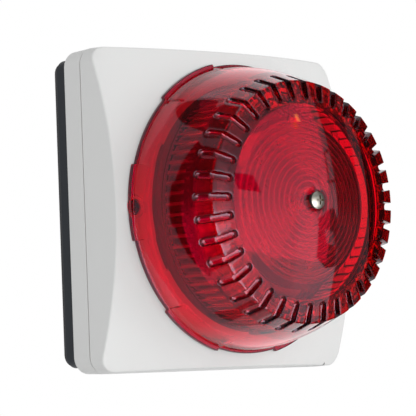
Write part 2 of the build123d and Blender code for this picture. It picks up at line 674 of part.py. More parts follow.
def lens_blank():
    """Lens without grooves: seat flange, barrel skirt, thick rim and dome."""
    flange_top = SEAT_DEPTH + FLANGE_THICK
    hub = LENS_HOLE_R
    inner_dome = (LENS_FRONT_R - LENS_WALL, LENS_APEX - LENS_WALL)
    inner_edge = (LENS_INNER_FACE_R, dome_depth(LENS_INNER_FACE_R, *inner_dome))
    outline = Polyline(LENS_INNER_FOOT, (FLANGE_R, SEAT_DEPTH), (FLANGE_R, flange_top), SKIRT_FOOT)
    outline += ThreePointArc(SKIRT_FOOT, SKIRT_MID, GROOVE_REAR)
    outline += Polyline(GROOVE_REAR, SKIRT_TOP, (RIM_R, lens_front(RIM_R)))
    outline += dome_arc(RIM_R, SCREW_SEAT_R, LENS_FRONT_R, LENS_APEX)
    outline += Polyline((SCREW_SEAT_R, lens_front(SCREW_SEAT_R)), (SCREW_SEAT_R, SCREW_SEAT), (hub, SCREW_SEAT),
                        (hub, dome_depth(hub, *inner_dome)))
    outline += dome_arc(hub, inner_edge[0], *inner_dome)
    outline += Polyline(inner_edge, LENS_INNER_CORNER, LENS_INNER_SHOULDER)
    outline += ThreePointArc(LENS_INNER_SHOULDER, LENS_INNER_MID, LENS_INNER_FOOT)
    return turned(make_face(outline))


def rim_groove():
    """Cutter for one groove: it follows skirt and rim and has round ends."""
    rear = GROOVE_REAR[1]
    floor = Polyline((80, rear), *GROOVE_FLOOR, (GROOVE_INNER_R, lens_front(GROOVE_INNER_R, GROOVE_DEEP)),
                     (GROOVE_INNER_R, 115), (80, 115), (80, rear))
    cutter = extrude(Plane.XZ * make_face(floor), GROOVE_WIDTH / 2, both=True)
    radial = [e for e in cutter.edges().filter_by(Axis.X) if e.center().Z < rear + 0.1]
    axial = [e for e in cutter.edges().filter_by(Axis.Z) if e.center().X < GROOVE_INNER_R + 0.1]
    cutter = fillet(radial + axial, GROOVE_WIDTH / 2 - 0.05)
    return cutter


def lens_tabs():
    """Six flange tabs that reach a little past the seat."""
    tabs = []
    for i in range(TAB_COUNT):
        centre = i * 360 / TAB_COUNT
        arc = [polar(TAB_R, centre + s * TAB_SPAN / 2) for s in (-1, 0, 1)]
        root = [polar(FLANGE_R - 4, centre + s * TAB_SPAN / 2) for s in (1, 0, -1)]
        edge = ThreePointArc(*arc) + Line(arc[2], root[0]) + ThreePointArc(*root) + Line(root[2], arc[0])
        tabs.append(Pos(0, 0, SEAT_DEPTH) * extrude(make_face(edge), FLANGE_THICK))
    return tabs


def lens():
    body = lens_blank()
    for tab in lens_tabs():
        body += tab
    body -= around(rim_groove(), [90 + i * 360 / TEETH for i in range(TEETH)])
    return Rot(0, 0, LENS_TURN) * body


def lens_washer():
    """Sealing washer under the lens screw."""
    return tube(WASHER_R, LENS_HOLE_R, SCREW_SEAT, SCREW_SEAT + WASHER_THICK)


def lens_screw():
    return Pos(0, 0, SCREW_SEAT + WASHER_THICK) * pan_screw(*LENS_SCREW_HEAD, LENS_SCREW_R, 13.0)


# ---------------------------------------------------------------- export
NODES = {
    "wall_gasket": wall_gasket,
    "wall_bracket": wall_bracket,
    "bracket_screws": bracket_screws,
    "rear_housing": rear_housing,
    "thread_inserts": thread_inserts,
    "cable_grommet": cable_grommet,
    "cover_seal": cover_seal,
    "main_board": main_board,
    "board_screws": board_screws,
    "terminal_block": terminal_block,
    "terminal_screws": terminal_screws,
    "tone_switch": tone_switch,
    "volume_trimmer": volume_trimmer,
    "trimmer_rotor": trimmer_rotor,
    "capacitors": capacitors,
    "boost_choke": boost_choke,
    "control_chips": control_chips,
    "link_socket": link_socket,
    "sounder": sounder,
    "sounder_disc": sounder_disc,
    "sounder_screws": sounder_screws,
    "front_cover": front_cover,
    "cover_screws": cover_screws,
    "lens_seal": lens_seal,
    "deck": deck,
    "deck_screws": deck_screws,
    "link_plug": link_plug,
    "led_pedestal": led_pedestal,
    "pedestal_screws": pedestal_screws,
    "led_board": led_board,
    "led_screws": led_screws,
    "leds": leds,
    "led_drivers": led_drivers,
    "status_lamp": status_lamp,
    "centre_post": centre_post,
    "inner_optic": inner_optic,
    "lens": lens,
    "lens_washer": lens_washer,
    "lens_screw": lens_screw,
}


def as_node(made):
    """One solid, or a compound of separate solids for a group of like pieces."""
    if isinstance(made, list):
        return Compound(children=[stand(piece) for piece in made])
    return stand(made)


def main():
    os.makedirs("parts", exist_ok=True)
    for name, make in NODES.items():
        export_step(as_node(make()), f"parts/{name}.step")
    for number, x in enumerate(lever_places(), start=1):
        export_step(as_node(tone_lever(x)), f"parts/tone_lever_{number}.step")


main()
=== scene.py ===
"""Looks of a wall-mounted horn strobe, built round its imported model.

Lengths are written in millimetres and turned into metres by mm(), but those of
the lamps, the cards and the floor are in metres.  A depth is the distance from
the wall: depth d lies at y = -d.  Angles round the device's axis start at
3 o'clock and run counter-clockwise seen from the front.
"""
import json
from math import atan2, cos, hypot, pi, radians, sin, sqrt

import bmesh
import bpy
import numpy as np
from mathutils import Matrix, Vector

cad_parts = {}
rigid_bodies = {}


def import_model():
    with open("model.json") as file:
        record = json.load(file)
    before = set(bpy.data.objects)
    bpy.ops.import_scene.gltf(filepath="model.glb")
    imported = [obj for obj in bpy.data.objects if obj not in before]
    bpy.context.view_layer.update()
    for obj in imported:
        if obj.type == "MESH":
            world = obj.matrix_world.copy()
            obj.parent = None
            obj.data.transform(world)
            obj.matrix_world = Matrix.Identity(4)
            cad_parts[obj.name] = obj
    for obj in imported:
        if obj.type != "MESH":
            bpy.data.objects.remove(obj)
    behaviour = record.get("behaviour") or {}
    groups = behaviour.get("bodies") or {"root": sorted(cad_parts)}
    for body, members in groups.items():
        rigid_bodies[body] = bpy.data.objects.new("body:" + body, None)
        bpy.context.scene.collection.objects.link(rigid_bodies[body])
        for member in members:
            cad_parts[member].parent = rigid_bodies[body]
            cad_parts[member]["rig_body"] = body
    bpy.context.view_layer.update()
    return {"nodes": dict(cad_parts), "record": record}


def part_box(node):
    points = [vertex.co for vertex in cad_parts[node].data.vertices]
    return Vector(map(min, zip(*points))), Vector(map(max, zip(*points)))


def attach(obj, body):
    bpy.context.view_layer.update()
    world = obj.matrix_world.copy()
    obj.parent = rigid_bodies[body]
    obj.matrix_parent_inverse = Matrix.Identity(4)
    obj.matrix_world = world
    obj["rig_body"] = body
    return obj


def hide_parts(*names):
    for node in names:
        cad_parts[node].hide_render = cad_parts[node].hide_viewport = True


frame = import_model()


def mm(value):
    return value / 1000.0


def near_depth(node):
    """Depth of a node's back, in millimetres."""
    return -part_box(node)[1].y * 1000


def half_width(node):
    """Half of a node's width, in millimetres."""
    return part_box(node)[1].x * 1000


# ---------------------------------------------------------------- sizes
WELD_GAP = 1e-6                   # in metres: points of a mesh about this close become one

LENS_SEAT = near_depth("lens")
LENS_UNDER = LENS_SEAT - 0.01     # the lens wets its seat, so that no film of air mirrors there
LENS_APEX = 104.9
LENS_SPHERE = 236.0
LENS_WALL = 3.0
LENS_FOOT_R = 69.0
FLANGE_R = 72.3
FLANGE_THICK = 2.2
FLANGE_TOP = LENS_SEAT + FLANGE_THICK
TAB_R = 73.8
TAB_COUNT = 6
TAB_SPAN = 29.5
TAB_MIDDLE = 118.5                # angle of the middle of one tab
TAB_END = (-0.40, -0.12, 0.12, 0.40)    # degrees past a tab's end, where its reach falls to
TAB_END_SHARE = (1, 0.9, 0.1, 0)        # these shares
TAB_TOP = 65.0                    # depth where the slopes from the tabs up the skirt end
TAB_SHARE = 0.5                   # share of a tab's reach that its slope takes up
WEDGE_START, WEDGE_END = -25, 35  # a sixth of the lens, in degrees from the middle of its tab
WEDGE = np.arange(WEDGE_START, WEDGE_END + 1.0)
SKIRT_FOOT_R = 71.2
SKIRT_MID = (68.2, 70.5)
SKIRT_TOP = (61.3, 91.5)
BAND_REAR = 84.0                  # depth where the grooved band begins on the skirt
BAND_INNER_R = 47.0
RIM_R = 59.3
GROOVE_STEP = 10                  # degrees from one groove to the next
GROOVE_HALF = 1.9
GROOVE_REAR = (63.1, 86.5)
GROOVE_CORNER = (58.4, 93.6)
GROOVE_INNER_R = 49.7
GROOVE_FLOOR_R = 61.0             # radius of a groove's floor at its rear
GROOVE_DEEP = 2.9                 # depth of its inner end under the face
INNER_MID = (65.8, 70.0)          # three places on the lens's inner side
INNER_SHOULDER = (60.2, 84.6)
INNER_CORNER = (55.6, 92.0)
INNER_FACE_R = 47.8
SCREW_SEAT = near_depth("lens_washer")
SCREW_SEAT_R = 5.2
HUB_R = 2.35
HUB_LIP = 0.35
HEAD_RIM = 105.6                  # depth of the rim of the lens screw's domed head
RECESS_R = 2.9
RECESS_DEEP = 1.2

OPTIC_R = 59.0
OPTIC_WALL = 2.2
OPTIC_FOOT_R = half_width("inner_optic")
OPTIC_FOOT = near_depth("inner_optic")
OPTIC_SHOULDER = 84.0
OPTIC_CROWN_R = 52.0
OPTIC_APEX = 99.0
OPTIC_SPHERE = 150.0
OPTIC_HOLE_R = 4.2
OPTIC_BAND = (59.25, 60.4)
FLUTES = 72
FLUTE_DEEP = 0.7
FLUTE_CUTTER_R = 3.6
FLUTE_LOW = 63.0
FLUTE_RUN_OUT = 0.9               # length over which a flute grows to its full depth
FROSTED_DEPTH = (63.0, 76.0)
RINGS = 11
RING_FIRST_R = 6.5
RING_LAST_R = 39.5
RING_PITCH = (RING_LAST_R - RING_FIRST_R) / RINGS
RING_DEEP = 0.9
CREST_WIDE = 0.75                 # matt grey line along the crest of each ring of the optic, a painted highlight


# ---------------------------------------------------------------- outlines
def dome(radius, sphere, apex):
    """Depth of a dome of the given sphere radius at a distance from the axis."""
    return apex - sphere + sqrt(sphere * sphere - radius * radius)


def lens_front(radius):
    return dome(radius, LENS_SPHERE, LENS_APEX)


def arc_through(a, b, c, steps):
    """Points on the arc from a through b to c."""
    (ax, ay), (bx, by), (cx, cy) = a, b, c
    a_sq = ax * ax + ay * ay
    b_sq = bx * bx + by * by
    c_sq = cx * cx + cy * cy
    d = 2 * (ax * (by - cy) + bx * (cy - ay) + cx * (ay - by))
    ux = (a_sq * (by - cy) + b_sq * (cy - ay) + c_sq * (ay - by)) / d
    uy = (a_sq * (cx - bx) + b_sq * (ax - cx) + c_sq * (bx - ax)) / d
    radius = hypot(ax - ux, ay - uy)
    start = atan2(ay - uy, ax - ux)
    sweep = (atan2(cy - uy, cx - ux) - start + pi) % (2 * pi) - pi
    return [(ux + radius * cos(start + sweep * i / steps), uy + radius * sin(start + sweep * i / steps))
            for i in range(steps + 1)]


def dome_points(r0, r1, sphere, apex, steps):
    return [(r, dome(r, sphere, apex)) for r in np.linspace(r0, r1, steps + 1)]


def rounded(points, radii, steps=5):
    """Open outline with the corners named in radii ({index: radius}) rounded off."""
    out = []
    for i, p in enumerate(points):
        p = np.array(p, float)
        radius = radii.get(i, 0)
        if radius == 0:
            out.append(tuple(p))
            continue
        to_last = np.array(points[i - 1], float) - p
        to_next = np.array(points[i + 1], float) - p
        u = to_last / np.linalg.norm(to_last)
        v = to_next / np.linalg.norm(to_next)
        half = np.arccos(np.clip(u @ v, -1, 1)) / 2
        reach = min(radius / np.tan(half), 0.49 * np.linalg.norm(to_last), 0.49 * np.linalg.norm(to_next))
        start, end = p + u * reach, p + v * reach
        for t in np.linspace(0, 1, steps + 1):
            out.append(tuple((1 - t) ** 2 * start + 2 * t * (1 - t) * p + t * t * end))
    return out


class Path:
    """Outline (radius, depth) that can be read at any distance along it."""

    def __init__(self, points):
        self.points = np.array(points, float)
        steps = np.hypot(*np.diff(self.points, axis=0).T)
        self.lengths = np.concatenate([[0], np.cumsum(steps)])
        self.length = self.lengths[-1]

    def at(self, s):
        return np.stack([np.interp(s, self.lengths, self.points[:, k]) for k in (0, 1)], -1)

    def where(self, point):
        """Distance along the outline of its point nearest to the given one."""
        gap = np.hypot(*(self.points - np.array(point)).T)
        return self.lengths[int(np.argmin(gap))]


# ---------------------------------------------------------------- meshes
def placed(radius, angle, depth):
    """Point at a radius, angle (degrees) and depth, in metres."""
    turn = np.radians(angle)
    return np.stack([radius * np.cos(turn), -np.broadcast_to(depth, np.shape(radius * turn)),
                     radius * np.sin(turn)], -1) / 1000.0


def grid_faces(rows, columns, first=0, wrap=False):
    """Quads of a grid of points; with wrap the last column joins the first."""
    index = first + np.arange(rows * columns).reshape(rows, columns)
    if wrap:
        index = np.concatenate([index, index[:, :1]], axis=1)
    return np.stack([index[:-1, :-1], index[:-1, 1:], index[1:, 1:], index[1:, :-1]], -1).reshape(-1, 4)


def new_object(name, points, faces):
    mesh = bpy.data.meshes.new(name)
    mesh.from_pydata([tuple(p) for p in points], [], [tuple(f) for f in faces])
    piece = bpy.data.objects.new(name, mesh)
    bpy.context.scene.collection.objects.link(piece)
    return piece


def mark_points(piece, label, values):
    """Store one number for each point of a piece under the given name."""
    piece.data.attributes.new(label, "FLOAT", "POINT").data.foreach_set("value", values)


def joined_grids(name, grids):
    """One object from several grids of points, each (grid, wrap, edge value of each row); the edge values
    mark painted shade.
    """
    points, faces, edges, count = [], [], [], 0
    for grid, wrap, edge in grids:
        rows, columns = grid.shape[:2]
        points.append(grid.reshape(-1, 3))
        faces.append(grid_faces(rows, columns, count, wrap))
        edges.append(np.repeat(np.broadcast_to(edge, rows), columns))
        count += rows * columns
    piece = new_object(name, np.concatenate(points), np.concatenate(faces))
    mark_points(piece, "edge", np.concatenate(edges).astype(float))
    return piece


def face_values(mesh, label):
    """The centre or the normal of every face, as rows of x, y and z."""
    values = np.empty(len(mesh.polygons) * 3)
    mesh.polygons.foreach_get(label, values)
    return values.reshape(-1, 3).T


def clean(piece):
    """Weld coincident points, drop empty faces and point all faces outwards."""
    work = bmesh.new()
    work.from_mesh(piece.data)
    bmesh.ops.remove_doubles(work, verts=work.verts, dist=2 * WELD_GAP)
    bmesh.ops.dissolve_degenerate(work, edges=work.edges, dist=WELD_GAP / 2)
    bmesh.ops.recalc_face_normals(work, faces=work.faces)
    work.to_mesh(piece.data)
    work.free()
    piece.data.update()


def shade(piece, sharp_degrees=35):
    """Smooth shading that keeps edges sharper than the given angle."""
    piece.data.shade_smooth()
    piece.data.set_sharp_from_angle(angle=radians(sharp_degrees))


def repeat_tree():
    """Node tree that repeats a wedge round the device's axis and welds it."""
    tree = bpy.data.node_groups.new("repeat_round_axis", "GeometryNodeTree")
    tree.interface.new_socket("Geometry", in_out="INPUT", socket_type="NodeSocketGeometry")
    tree.interface.new_socket("Count", in_out="INPUT", socket_type="NodeSocketInt")
    tree.interface.new_socket("Weld", in_out="INPUT", socket_type="NodeSocketFloat")
    tree.interface.new_socket("Material", in_out="INPUT", socket_type="NodeSocketMaterial")
    tree.interface.new_socket("Geometry", in_out="OUTPUT", socket_type="NodeSocketGeometry")
    nodes, link = tree.nodes, tree.links.new
    given = nodes.new("NodeGroupInput")
    result = nodes.new("NodeGroupOutput")
    points = nodes.new("GeometryNodePoints")
    index = nodes.new("GeometryNodeInputIndex")
    step = nodes.new("ShaderNodeMath")
    step.operation = "DIVIDE"
    step.inputs[0].default_value = -2 * pi
    angle = nodes.new("ShaderNodeMath")
    angle.operation = "MULTIPLY"
    turn = nodes.new("ShaderNodeCombineXYZ")
    copies = nodes.new("GeometryNodeInstanceOnPoints")
    real = nodes.new("GeometryNodeRealizeInstances")
    weld = nodes.new("GeometryNodeMergeByDistance")
    finish = nodes.new("GeometryNodeSetMaterial")
    link(given.outputs["Count"], points.inputs["Count"])
    link(given.outputs["Count"], step.inputs[1])
    link(index.outputs[0], angle.inputs[0])
    link(step.outputs[0], angle.inputs[1])
    link(angle.outputs[0], turn.inputs["Y"])
    link(points.outputs[0], copies.inputs["Points"])
    link(given.outputs["Geometry"], copies.inputs["Instance"])
    link(turn.outputs[0], copies.inputs["Rotation"])
    link(copies.outputs[0], real.inputs[0])
    link(real.outputs[0], weld.inputs["Geometry"])
    link(given.outputs["Weld"], weld.inputs["Distance"])
    link(weld.outputs[0], finish.inputs["Geometry"])
    link(given.outputs["Material"], finish.inputs["Material"])
    link(finish.outputs[0], result.inputs[0])
    return tree


REPEAT = repeat_tree()


def with_nodes(piece, tree, **inputs):
    """Run a Geometry Nodes tree on a piece and keep the result as its mesh."""
    modifier = piece.modifiers.new(tree.name, "NODES")
    modifier.node_group = tree
    for item in tree.interface.items_tree:
        if item.in_out == "INPUT" and item.name in inputs:
            modifier[item.identifier] = inputs[item.name]
    bpy.context.view_layer.update()
    evaluated = piece.evaluated_get(bpy.context.evaluated_depsgraph_get())
    mesh = bpy.data.meshes.new_from_object(evaluated)
    piece.modifiers.clear()
    old = piece.data
    piece.data = mesh
    mesh.name = piece.name
    bpy.data.meshes.remove(old)


def repeated(piece, count, material):
    """Repeat a wedge round the axis into one closed, welded piece with the given material."""
    with_nodes(piece, REPEAT, Count=count, Weld=WELD_GAP, Material=material)
    clean(piece)


def dressed_copy(node, name, material):
    """Welded, smooth-shaded copy of a CAD node that stands for it."""
    piece = bpy.data.objects.new(name, frame["nodes"][node].data.copy())
    bpy.context.scene.collection.objects.link(piece)
    work = bmesh.new()
    work.from_mesh(piece.data)
    bmesh.ops.remove_doubles(work, verts=work.verts, dist=WELD_GAP)
    work.to_mesh(piece.data)
    work.free()
    if "custom_normal" in piece.data.attributes:
        piece.data.attributes.remove(piece.data.attributes["custom_normal"])
    shade(piece)
    piece.data.materials.clear()
    piece.data.materials.append(material)
    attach(piece, frame["nodes"][node]["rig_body"])
    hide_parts(node)
    return piece


# ---------------------------------------------------------------- shader groups
def texture_group(name, inputs, outputs):
    """Empty shader group with named float inputs and named outputs."""
    group = bpy.data.node_groups.new(name, "ShaderNodeTree")
    for label, value in inputs:
        socket = group.interface.new_socket(label, in_out="INPUT", socket_type="NodeSocketFloat")
        socket.default_value = value
    for label, kind in outputs:
        group.interface.new_socket(label, in_out="OUTPUT", socket_type=kind)
    return group, group.nodes.new("NodeGroupInput"), group.nodes.new("NodeGroupOutput")


def moulded_skin_group():
    """Spark-eroded skin of a moulding: fine grain height and a faint uneven tone."""
    group, given, result = texture_group(
        "moulded_skin", [("Grain Size", 0.4), ("Tone", 0.03)],
        [("Height", "NodeSocketFloat"), ("Tone", "NodeSocketFloat"), ("Roughness", "NodeSocketFloat")])
    nodes, link = group.nodes, group.links.new
    place = nodes.new("ShaderNodeTexCoord")
    rate = nodes.new("ShaderNodeMath")
    rate.operation = "DIVIDE"
    rate.inputs[0].default_value = 1000.0
    grain = nodes.new("ShaderNodeTexNoise")
    grain.inputs["Detail"].default_value = 3.0
    grain.inputs["Roughness"].default_value = 0.6
    clouds = nodes.new("ShaderNodeTexNoise")
    clouds.inputs["Scale"].default_value = 28.0
    clouds.inputs["Detail"].default_value = 4.0
    shift = nodes.new("ShaderNodeMath")
    shift.operation = "SUBTRACT"
    shift.inputs[1].default_value = 0.5
    spread = nodes.new("ShaderNodeMath")
    spread.operation = "MULTIPLY_ADD"
    spread.inputs[2].default_value = 1.0
    rough = nodes.new("ShaderNodeMapRange")
    rough.inputs["To Min"].default_value = 0.42
    rough.inputs["To Max"].default_value = 0.58
    link(given.outputs["Grain Size"], rate.inputs[1])
    link(place.outputs["Object"], grain.inputs["Vector"])
    link(rate.outputs[0], grain.inputs["Scale"])
    link(place.outputs["Object"], clouds.inputs["Vector"])
    link(clouds.outputs[0], shift.inputs[0])
    link(shift.outputs[0], spread.inputs[0])
    link(given.outputs["Tone"], spread.inputs[1])
    link(grain.outputs[0], rough.inputs["Value"])
    link(grain.outputs[0], result.inputs["Height"])
    link(spread.outputs[0], result.inputs["Tone"])
    link(rough.outputs[0], result.inputs["Roughness"])
    return group


MOULDED_SKIN = moulded_skin_group()


# ---------------------------------------------------------------- materials
def new_material(name, colour, roughness=0.5, metallic=0.0, **more):
    """Principled material; more sets further sockets by their names with underscores."""
    material = bpy.data.materials.new(name)
    material.use_nodes = True
    surface = material.node_tree.nodes["Principled BSDF"]
    surface.inputs["Base Color"].default_value = (*colour, 1)
    surface.inputs["Roughness"].default_value = roughness
    surface.inputs["Metallic"].default_value = metallic
    for label, value in more.items():
        surface.inputs[label.replace("_", " ")].default_value = value
    return material, surface


def moulded(name, colour, grain=0.4, depth=0.02, tone=0.05):
    """Moulded plastic with a fine skin."""
    material, surface = new_material(name, colour)
    nodes, link = material.node_tree.nodes, material.node_tree.links.new
    skin = nodes.new("ShaderNodeGroup")
    skin.node_tree = MOULDED_SKIN
    skin.inputs["Grain Size"].default_value = grain
    skin.inputs["Tone"].default_value = tone
    bump = nodes.new("ShaderNodeBump")
    bump.inputs["Distance"].default_value = mm(depth)
    scale = nodes.new("ShaderNodeVectorMath")
    scale.operation = "SCALE"
    scale.inputs[0].default_value = colour
    link(skin.outputs["Height"], bump.inputs["Height"])
    link(bump.outputs[0], surface.inputs["Normal"])
    link(skin.outputs["Tone"], scale.inputs["Scale"])
    link(scale.outputs[0], surface.inputs["Base Color"])
    link(skin.outputs["Roughness"], surface.inputs["Roughness"])
    return material


def clear_plastic(name, colour, roughness, ior, wave, soak=None, edge=None, **more):
    """Transparent moulding with faint flow waves in its surface.

    soak is the colour that a thick wall keeps, and how fast the others go, per metre; edge is the colour and
    roughness painted as shade on the edges that the mesh marks."""
    material, surface = new_material(name, colour, roughness, IOR=ior, Transmission_Weight=1.0, **more)
    nodes, link = material.node_tree.nodes, material.node_tree.links.new
    place = nodes.new("ShaderNodeTexCoord")
    flow = nodes.new("ShaderNodeTexNoise")
    flow.inputs["Scale"].default_value = 45.0
    flow.inputs["Detail"].default_value = 1.0
    bump = nodes.new("ShaderNodeBump")
    bump.inputs["Distance"].default_value = mm(wave)
    link(place.outputs["Object"], flow.inputs["Vector"])
    link(flow.outputs[0], bump.inputs["Height"])
    link(bump.outputs[0], surface.inputs["Normal"])
    # painted shade: the marked edges get the darker edge colour
    if edge:
        marked = nodes.new("ShaderNodeAttribute")
        marked.attribute_name = "edge"
        tone = nodes.new("ShaderNodeMix")
        tone.data_type = "RGBA"
        tone.inputs["A"].default_value = (*colour, 1)
        tone.inputs["B"].default_value = (*edge[0], 1)
        rough = nodes.new("ShaderNodeMapRange")
        rough.inputs["To Min"].default_value = roughness
        rough.inputs["To Max"].default_value = edge[1]
        link(marked.outputs["Fac"], tone.inputs["Factor"])
        link(marked.outputs["Fac"], rough.inputs["Value"])
        link(tone.outputs["Result"], surface.inputs["Base Color"])
        link(rough.outputs[0], surface.inputs["Roughness"])
    if soak:
        inside = nodes.new("ShaderNodeVolumeAbsorption")
        inside.inputs["Color"].default_value = (*soak[0], 1)
        inside.inputs["Density"].default_value = soak[1]
        link(inside.outputs[0], nodes["Material Output"].inputs["Volume"])
    return material


def worked_metal(name, colour, roughness):
    """Plated or machined metal with a fine uneven brightness."""
    material, surface = new_material(name, colour, roughness, metallic=1.0)
    nodes, link = material.node_tree.nodes, material.node_tree.links.new
    place = nodes.new("ShaderNodeTexCoord")
    grain = nodes.new("ShaderNodeTexNoise")
    grain.inputs["Scale"].default_value = 900.0
    grain.inputs["Detail"].default_value = 3.0
    rough = nodes.new("ShaderNodeMapRange")
    rough.inputs["To Min"].default_value = roughness * 0.7
    rough.inputs["To Max"].default_value = roughness * 1.4
    link(place.outputs["Object"], grain.inputs["Vector"])
    link(grain.outputs[0], rough.inputs["Value"])
    link(rough.outputs[0], surface.inputs["Roughness"])
    return material


def radial_tone(nodes, link, centre, reach, near, far):
    """Colour that goes from near to far between two distances from a centre (across, up), in metres."""
    place = nodes.new("ShaderNodeTexCoord")
    offset = nodes.new("ShaderNodeVectorMath")
    offset.operation = "SUBTRACT"
    offset.inputs[1].default_value = (centre[0], 0, centre[1])
    flat = nodes.new("ShaderNodeVectorMath")
    flat.operation = "MULTIPLY"
    flat.inputs[1].default_value = (1, 0, 1)
    distance = nodes.new("ShaderNodeVectorMath")
    distance.operation = "LENGTH"
    share = nodes.new("ShaderNodeMapRange")
    share.inputs["From Min"].default_value = reach[0]
    share.inputs["From Max"].default_value = reach[1]
    tone = nodes.new("ShaderNodeMix")
    tone.data_type = "RGBA"
    for socket, value in (("A", near), ("B", far)):
        if isinstance(value, bpy.types.NodeSocket):
            link(value, tone.inputs[socket])
        else:
            tone.inputs[socket].default_value = (*value, 1)
    link(place.outputs["Object"], offset.inputs[0])
    link(offset.outputs["Vector"], flat.inputs[0])
    link(flat.outputs["Vector"], distance.inputs[0])
    link(distance.outputs["Value"], share.inputs["Value"])
    link(share.outputs[0], tone.inputs["Factor"])
    return tone.outputs["Result"]


def board_with_painted_light(name, near, far, bare, border):
    """Board with a painted pool of light round a point on its left, darker outwards, and bare outside the
    border.
    """
    material, surface = new_material(name, near, 0.7, Specular_IOR_Level=0.1)
    nodes, link = material.node_tree.nodes, material.node_tree.links.new
    # painted light: lighter round a point on the board's left, darker outwards
    painted_light_tone = radial_tone(nodes, link, (mm(-20), mm(-4)), (mm(8), mm(36)), near, far)
    whole = radial_tone(nodes, link, (0, 0), (border - mm(0.1), border + mm(0.1)), painted_light_tone, bare)
    link(whole, surface.inputs["Base Color"])
    return material


def deck_with_painted_shade(name, near, far):
    """Grey deck with painted shade: darker under the pedestal than at its rim."""
    material, surface = new_material(name, near, 0.5)
    nodes, link = material.node_tree.nodes, material.node_tree.links.new
    # painted shade: dark under the pedestal, lighter towards the rim
    link(radial_tone(nodes, link, (0, 0), (mm(40), mm(48)), near, far), surface.inputs["Base Color"])
    return material


HOUSING = moulded("housing_plastic", (0.70, 0.705, 0.70))
BRACKET = moulded("bracket_plastic", (0.009, 0.012, 0.017), grain=0.5, depth=0.04)
FOAM = moulded("gasket_foam", (0.03, 0.03, 0.034), grain=0.7, depth=0.15, tone=0.3)
SEAL = moulded("seal_rubber", (0.12, 0.085, 0.055), grain=0.3, depth=0.02)
BLACK_RUBBER = moulded("black_rubber", (0.02, 0.02, 0.02), grain=0.3)
WHITE_PLASTIC = moulded("white_plastic", (0.78, 0.78, 0.76), grain=0.3)
GREY_PLASTIC = moulded("grey_plastic", (0.13, 0.13, 0.13), grain=0.3)
GREEN_PLASTIC = moulded("green_plastic", (0.03, 0.24, 0.07), grain=0.3)
BLUE_PLASTIC = moulded("blue_plastic", (0.02, 0.08, 0.35), grain=0.3)
BLACK_PLASTIC = moulded("black_plastic", (0.02, 0.02, 0.022), grain=0.3)
FERRITE = moulded("ferrite", (0.05, 0.05, 0.055), grain=0.2, depth=0.05, tone=0.2)
GREEN_BOARD = moulded("green_board", (0.01, 0.12, 0.04), grain=0.2, depth=0.01, tone=0.2)
# board tones far below white as painted shade, with a painted pool of light on its left
BOARD_WITH_PAINTED_LIGHT = board_with_painted_light("white_board", near=(0.10, 0.10, 0.10), far=(0.01, 0.01, 0.01),
                            bare=(0.02, 0.02, 0.02), border=mm(38.2))
# deck tones with painted shade under the pedestal
DECK_WITH_PAINTED_SHADE = deck_with_painted_shade("deck_painted_shade", near=(0.10, 0.10, 0.10), far=(0.36, 0.36, 0.36))
LED_PACKAGE = moulded("led_package", (0.24, 0.22, 0.10), grain=0.2, depth=0.005)
AMBER = moulded("amber_lamp", (0.9, 0.35, 0.02), grain=0.2, depth=0.005)
STEEL = worked_metal("bright_steel", (0.62, 0.62, 0.62), 0.22)
NICKEL = worked_metal("satin_nickel", (0.46, 0.44, 0.39), 0.40)
# dark brown for the lens screw's cross recess: painted shade
RECESS_PAINTED_SHADE = worked_metal("recess_painted_shade", (0.16, 0.11, 0.05), 0.5)
BLACKENED = worked_metal("blackened_steel", (0.08, 0.08, 0.08), 0.4)
BRASS = worked_metal("brass", (0.72, 0.50, 0.22), 0.28)
CAN = worked_metal("aluminium_can", (0.62, 0.63, 0.64), 0.35)
# the near-black edge colour is painted shade on the groove walls and the flange's rim
RED_LENS = clear_plastic("red_lens", (1.0, 0.08, 0.24), roughness=0.02, ior=1.58, wave=0.006,
                         soak=((0.98, 0.0, 0.60), 650.0), edge=((0.05, 0.0, 0.004), 0.12),
                         Specular_Tint=(1.0, 0.8, 1.0, 1.0))
CLEAR_OPTIC = clear_plastic("clear_optic", (0.96, 0.96, 0.96), roughness=0.04, ior=1.5, wave=0.005)
# grey matt finish for the rings' steps and crests: painted highlights along the rings
RING_STEPS, _ = new_material("ring_steps", (0.30, 0.30, 0.30), 0.5, IOR=1.5, Transmission_Weight=0.2)
# grey frosted ridges, used on the left side only as painted light
FROSTED_OPTIC, _ = new_material("frosted_optic", (0.42, 0.42, 0.42), 0.45, IOR=1.5, Transmission_Weight=0.5)

FINISH_OF_SLOT = {
    "foam": FOAM, "bracket_plastic": BRACKET, "housing_plastic": HOUSING, "seal_rubber": SEAL,
    "black_rubber": BLACK_RUBBER, "brass": BRASS, "steel": STEEL, "green_board": GREEN_BOARD,
    "white_board": BOARD_WITH_PAINTED_LIGHT, "green_plastic": GREEN_PLASTIC, "blue_plastic": BLUE_PLASTIC,
    "white_plastic": WHITE_PLASTIC, "black_plastic": BLACK_PLASTIC, "capacitor_sleeve": CAN,
    "ferrite": FERRITE, "led_package": LED_PACKAGE, "amber": AMBER, "clear_lens": CLEAR_OPTIC,
    "red_lens": RED_LENS,
}


def dress_screw(mesh):
    """Satin nickel head with its cross recess coloured dark brown as painted shade."""
    mesh.materials[0] = NICKEL
    mesh.materials.append(RECESS_PAINTED_SHADE)
    x, y, z = face_values(mesh, "center")
    facing = face_values(mesh, "normal")[1]
    inward = (facing > -0.7) | (-y < mm(HEAD_RIM))
    recess = inward & (np.hypot(x, z) < mm(RECESS_R)) & (-y > mm(HEAD_RIM - RECESS_DEEP))
    mesh.polygons.foreach_set("material_index", recess.astype(np.int32))


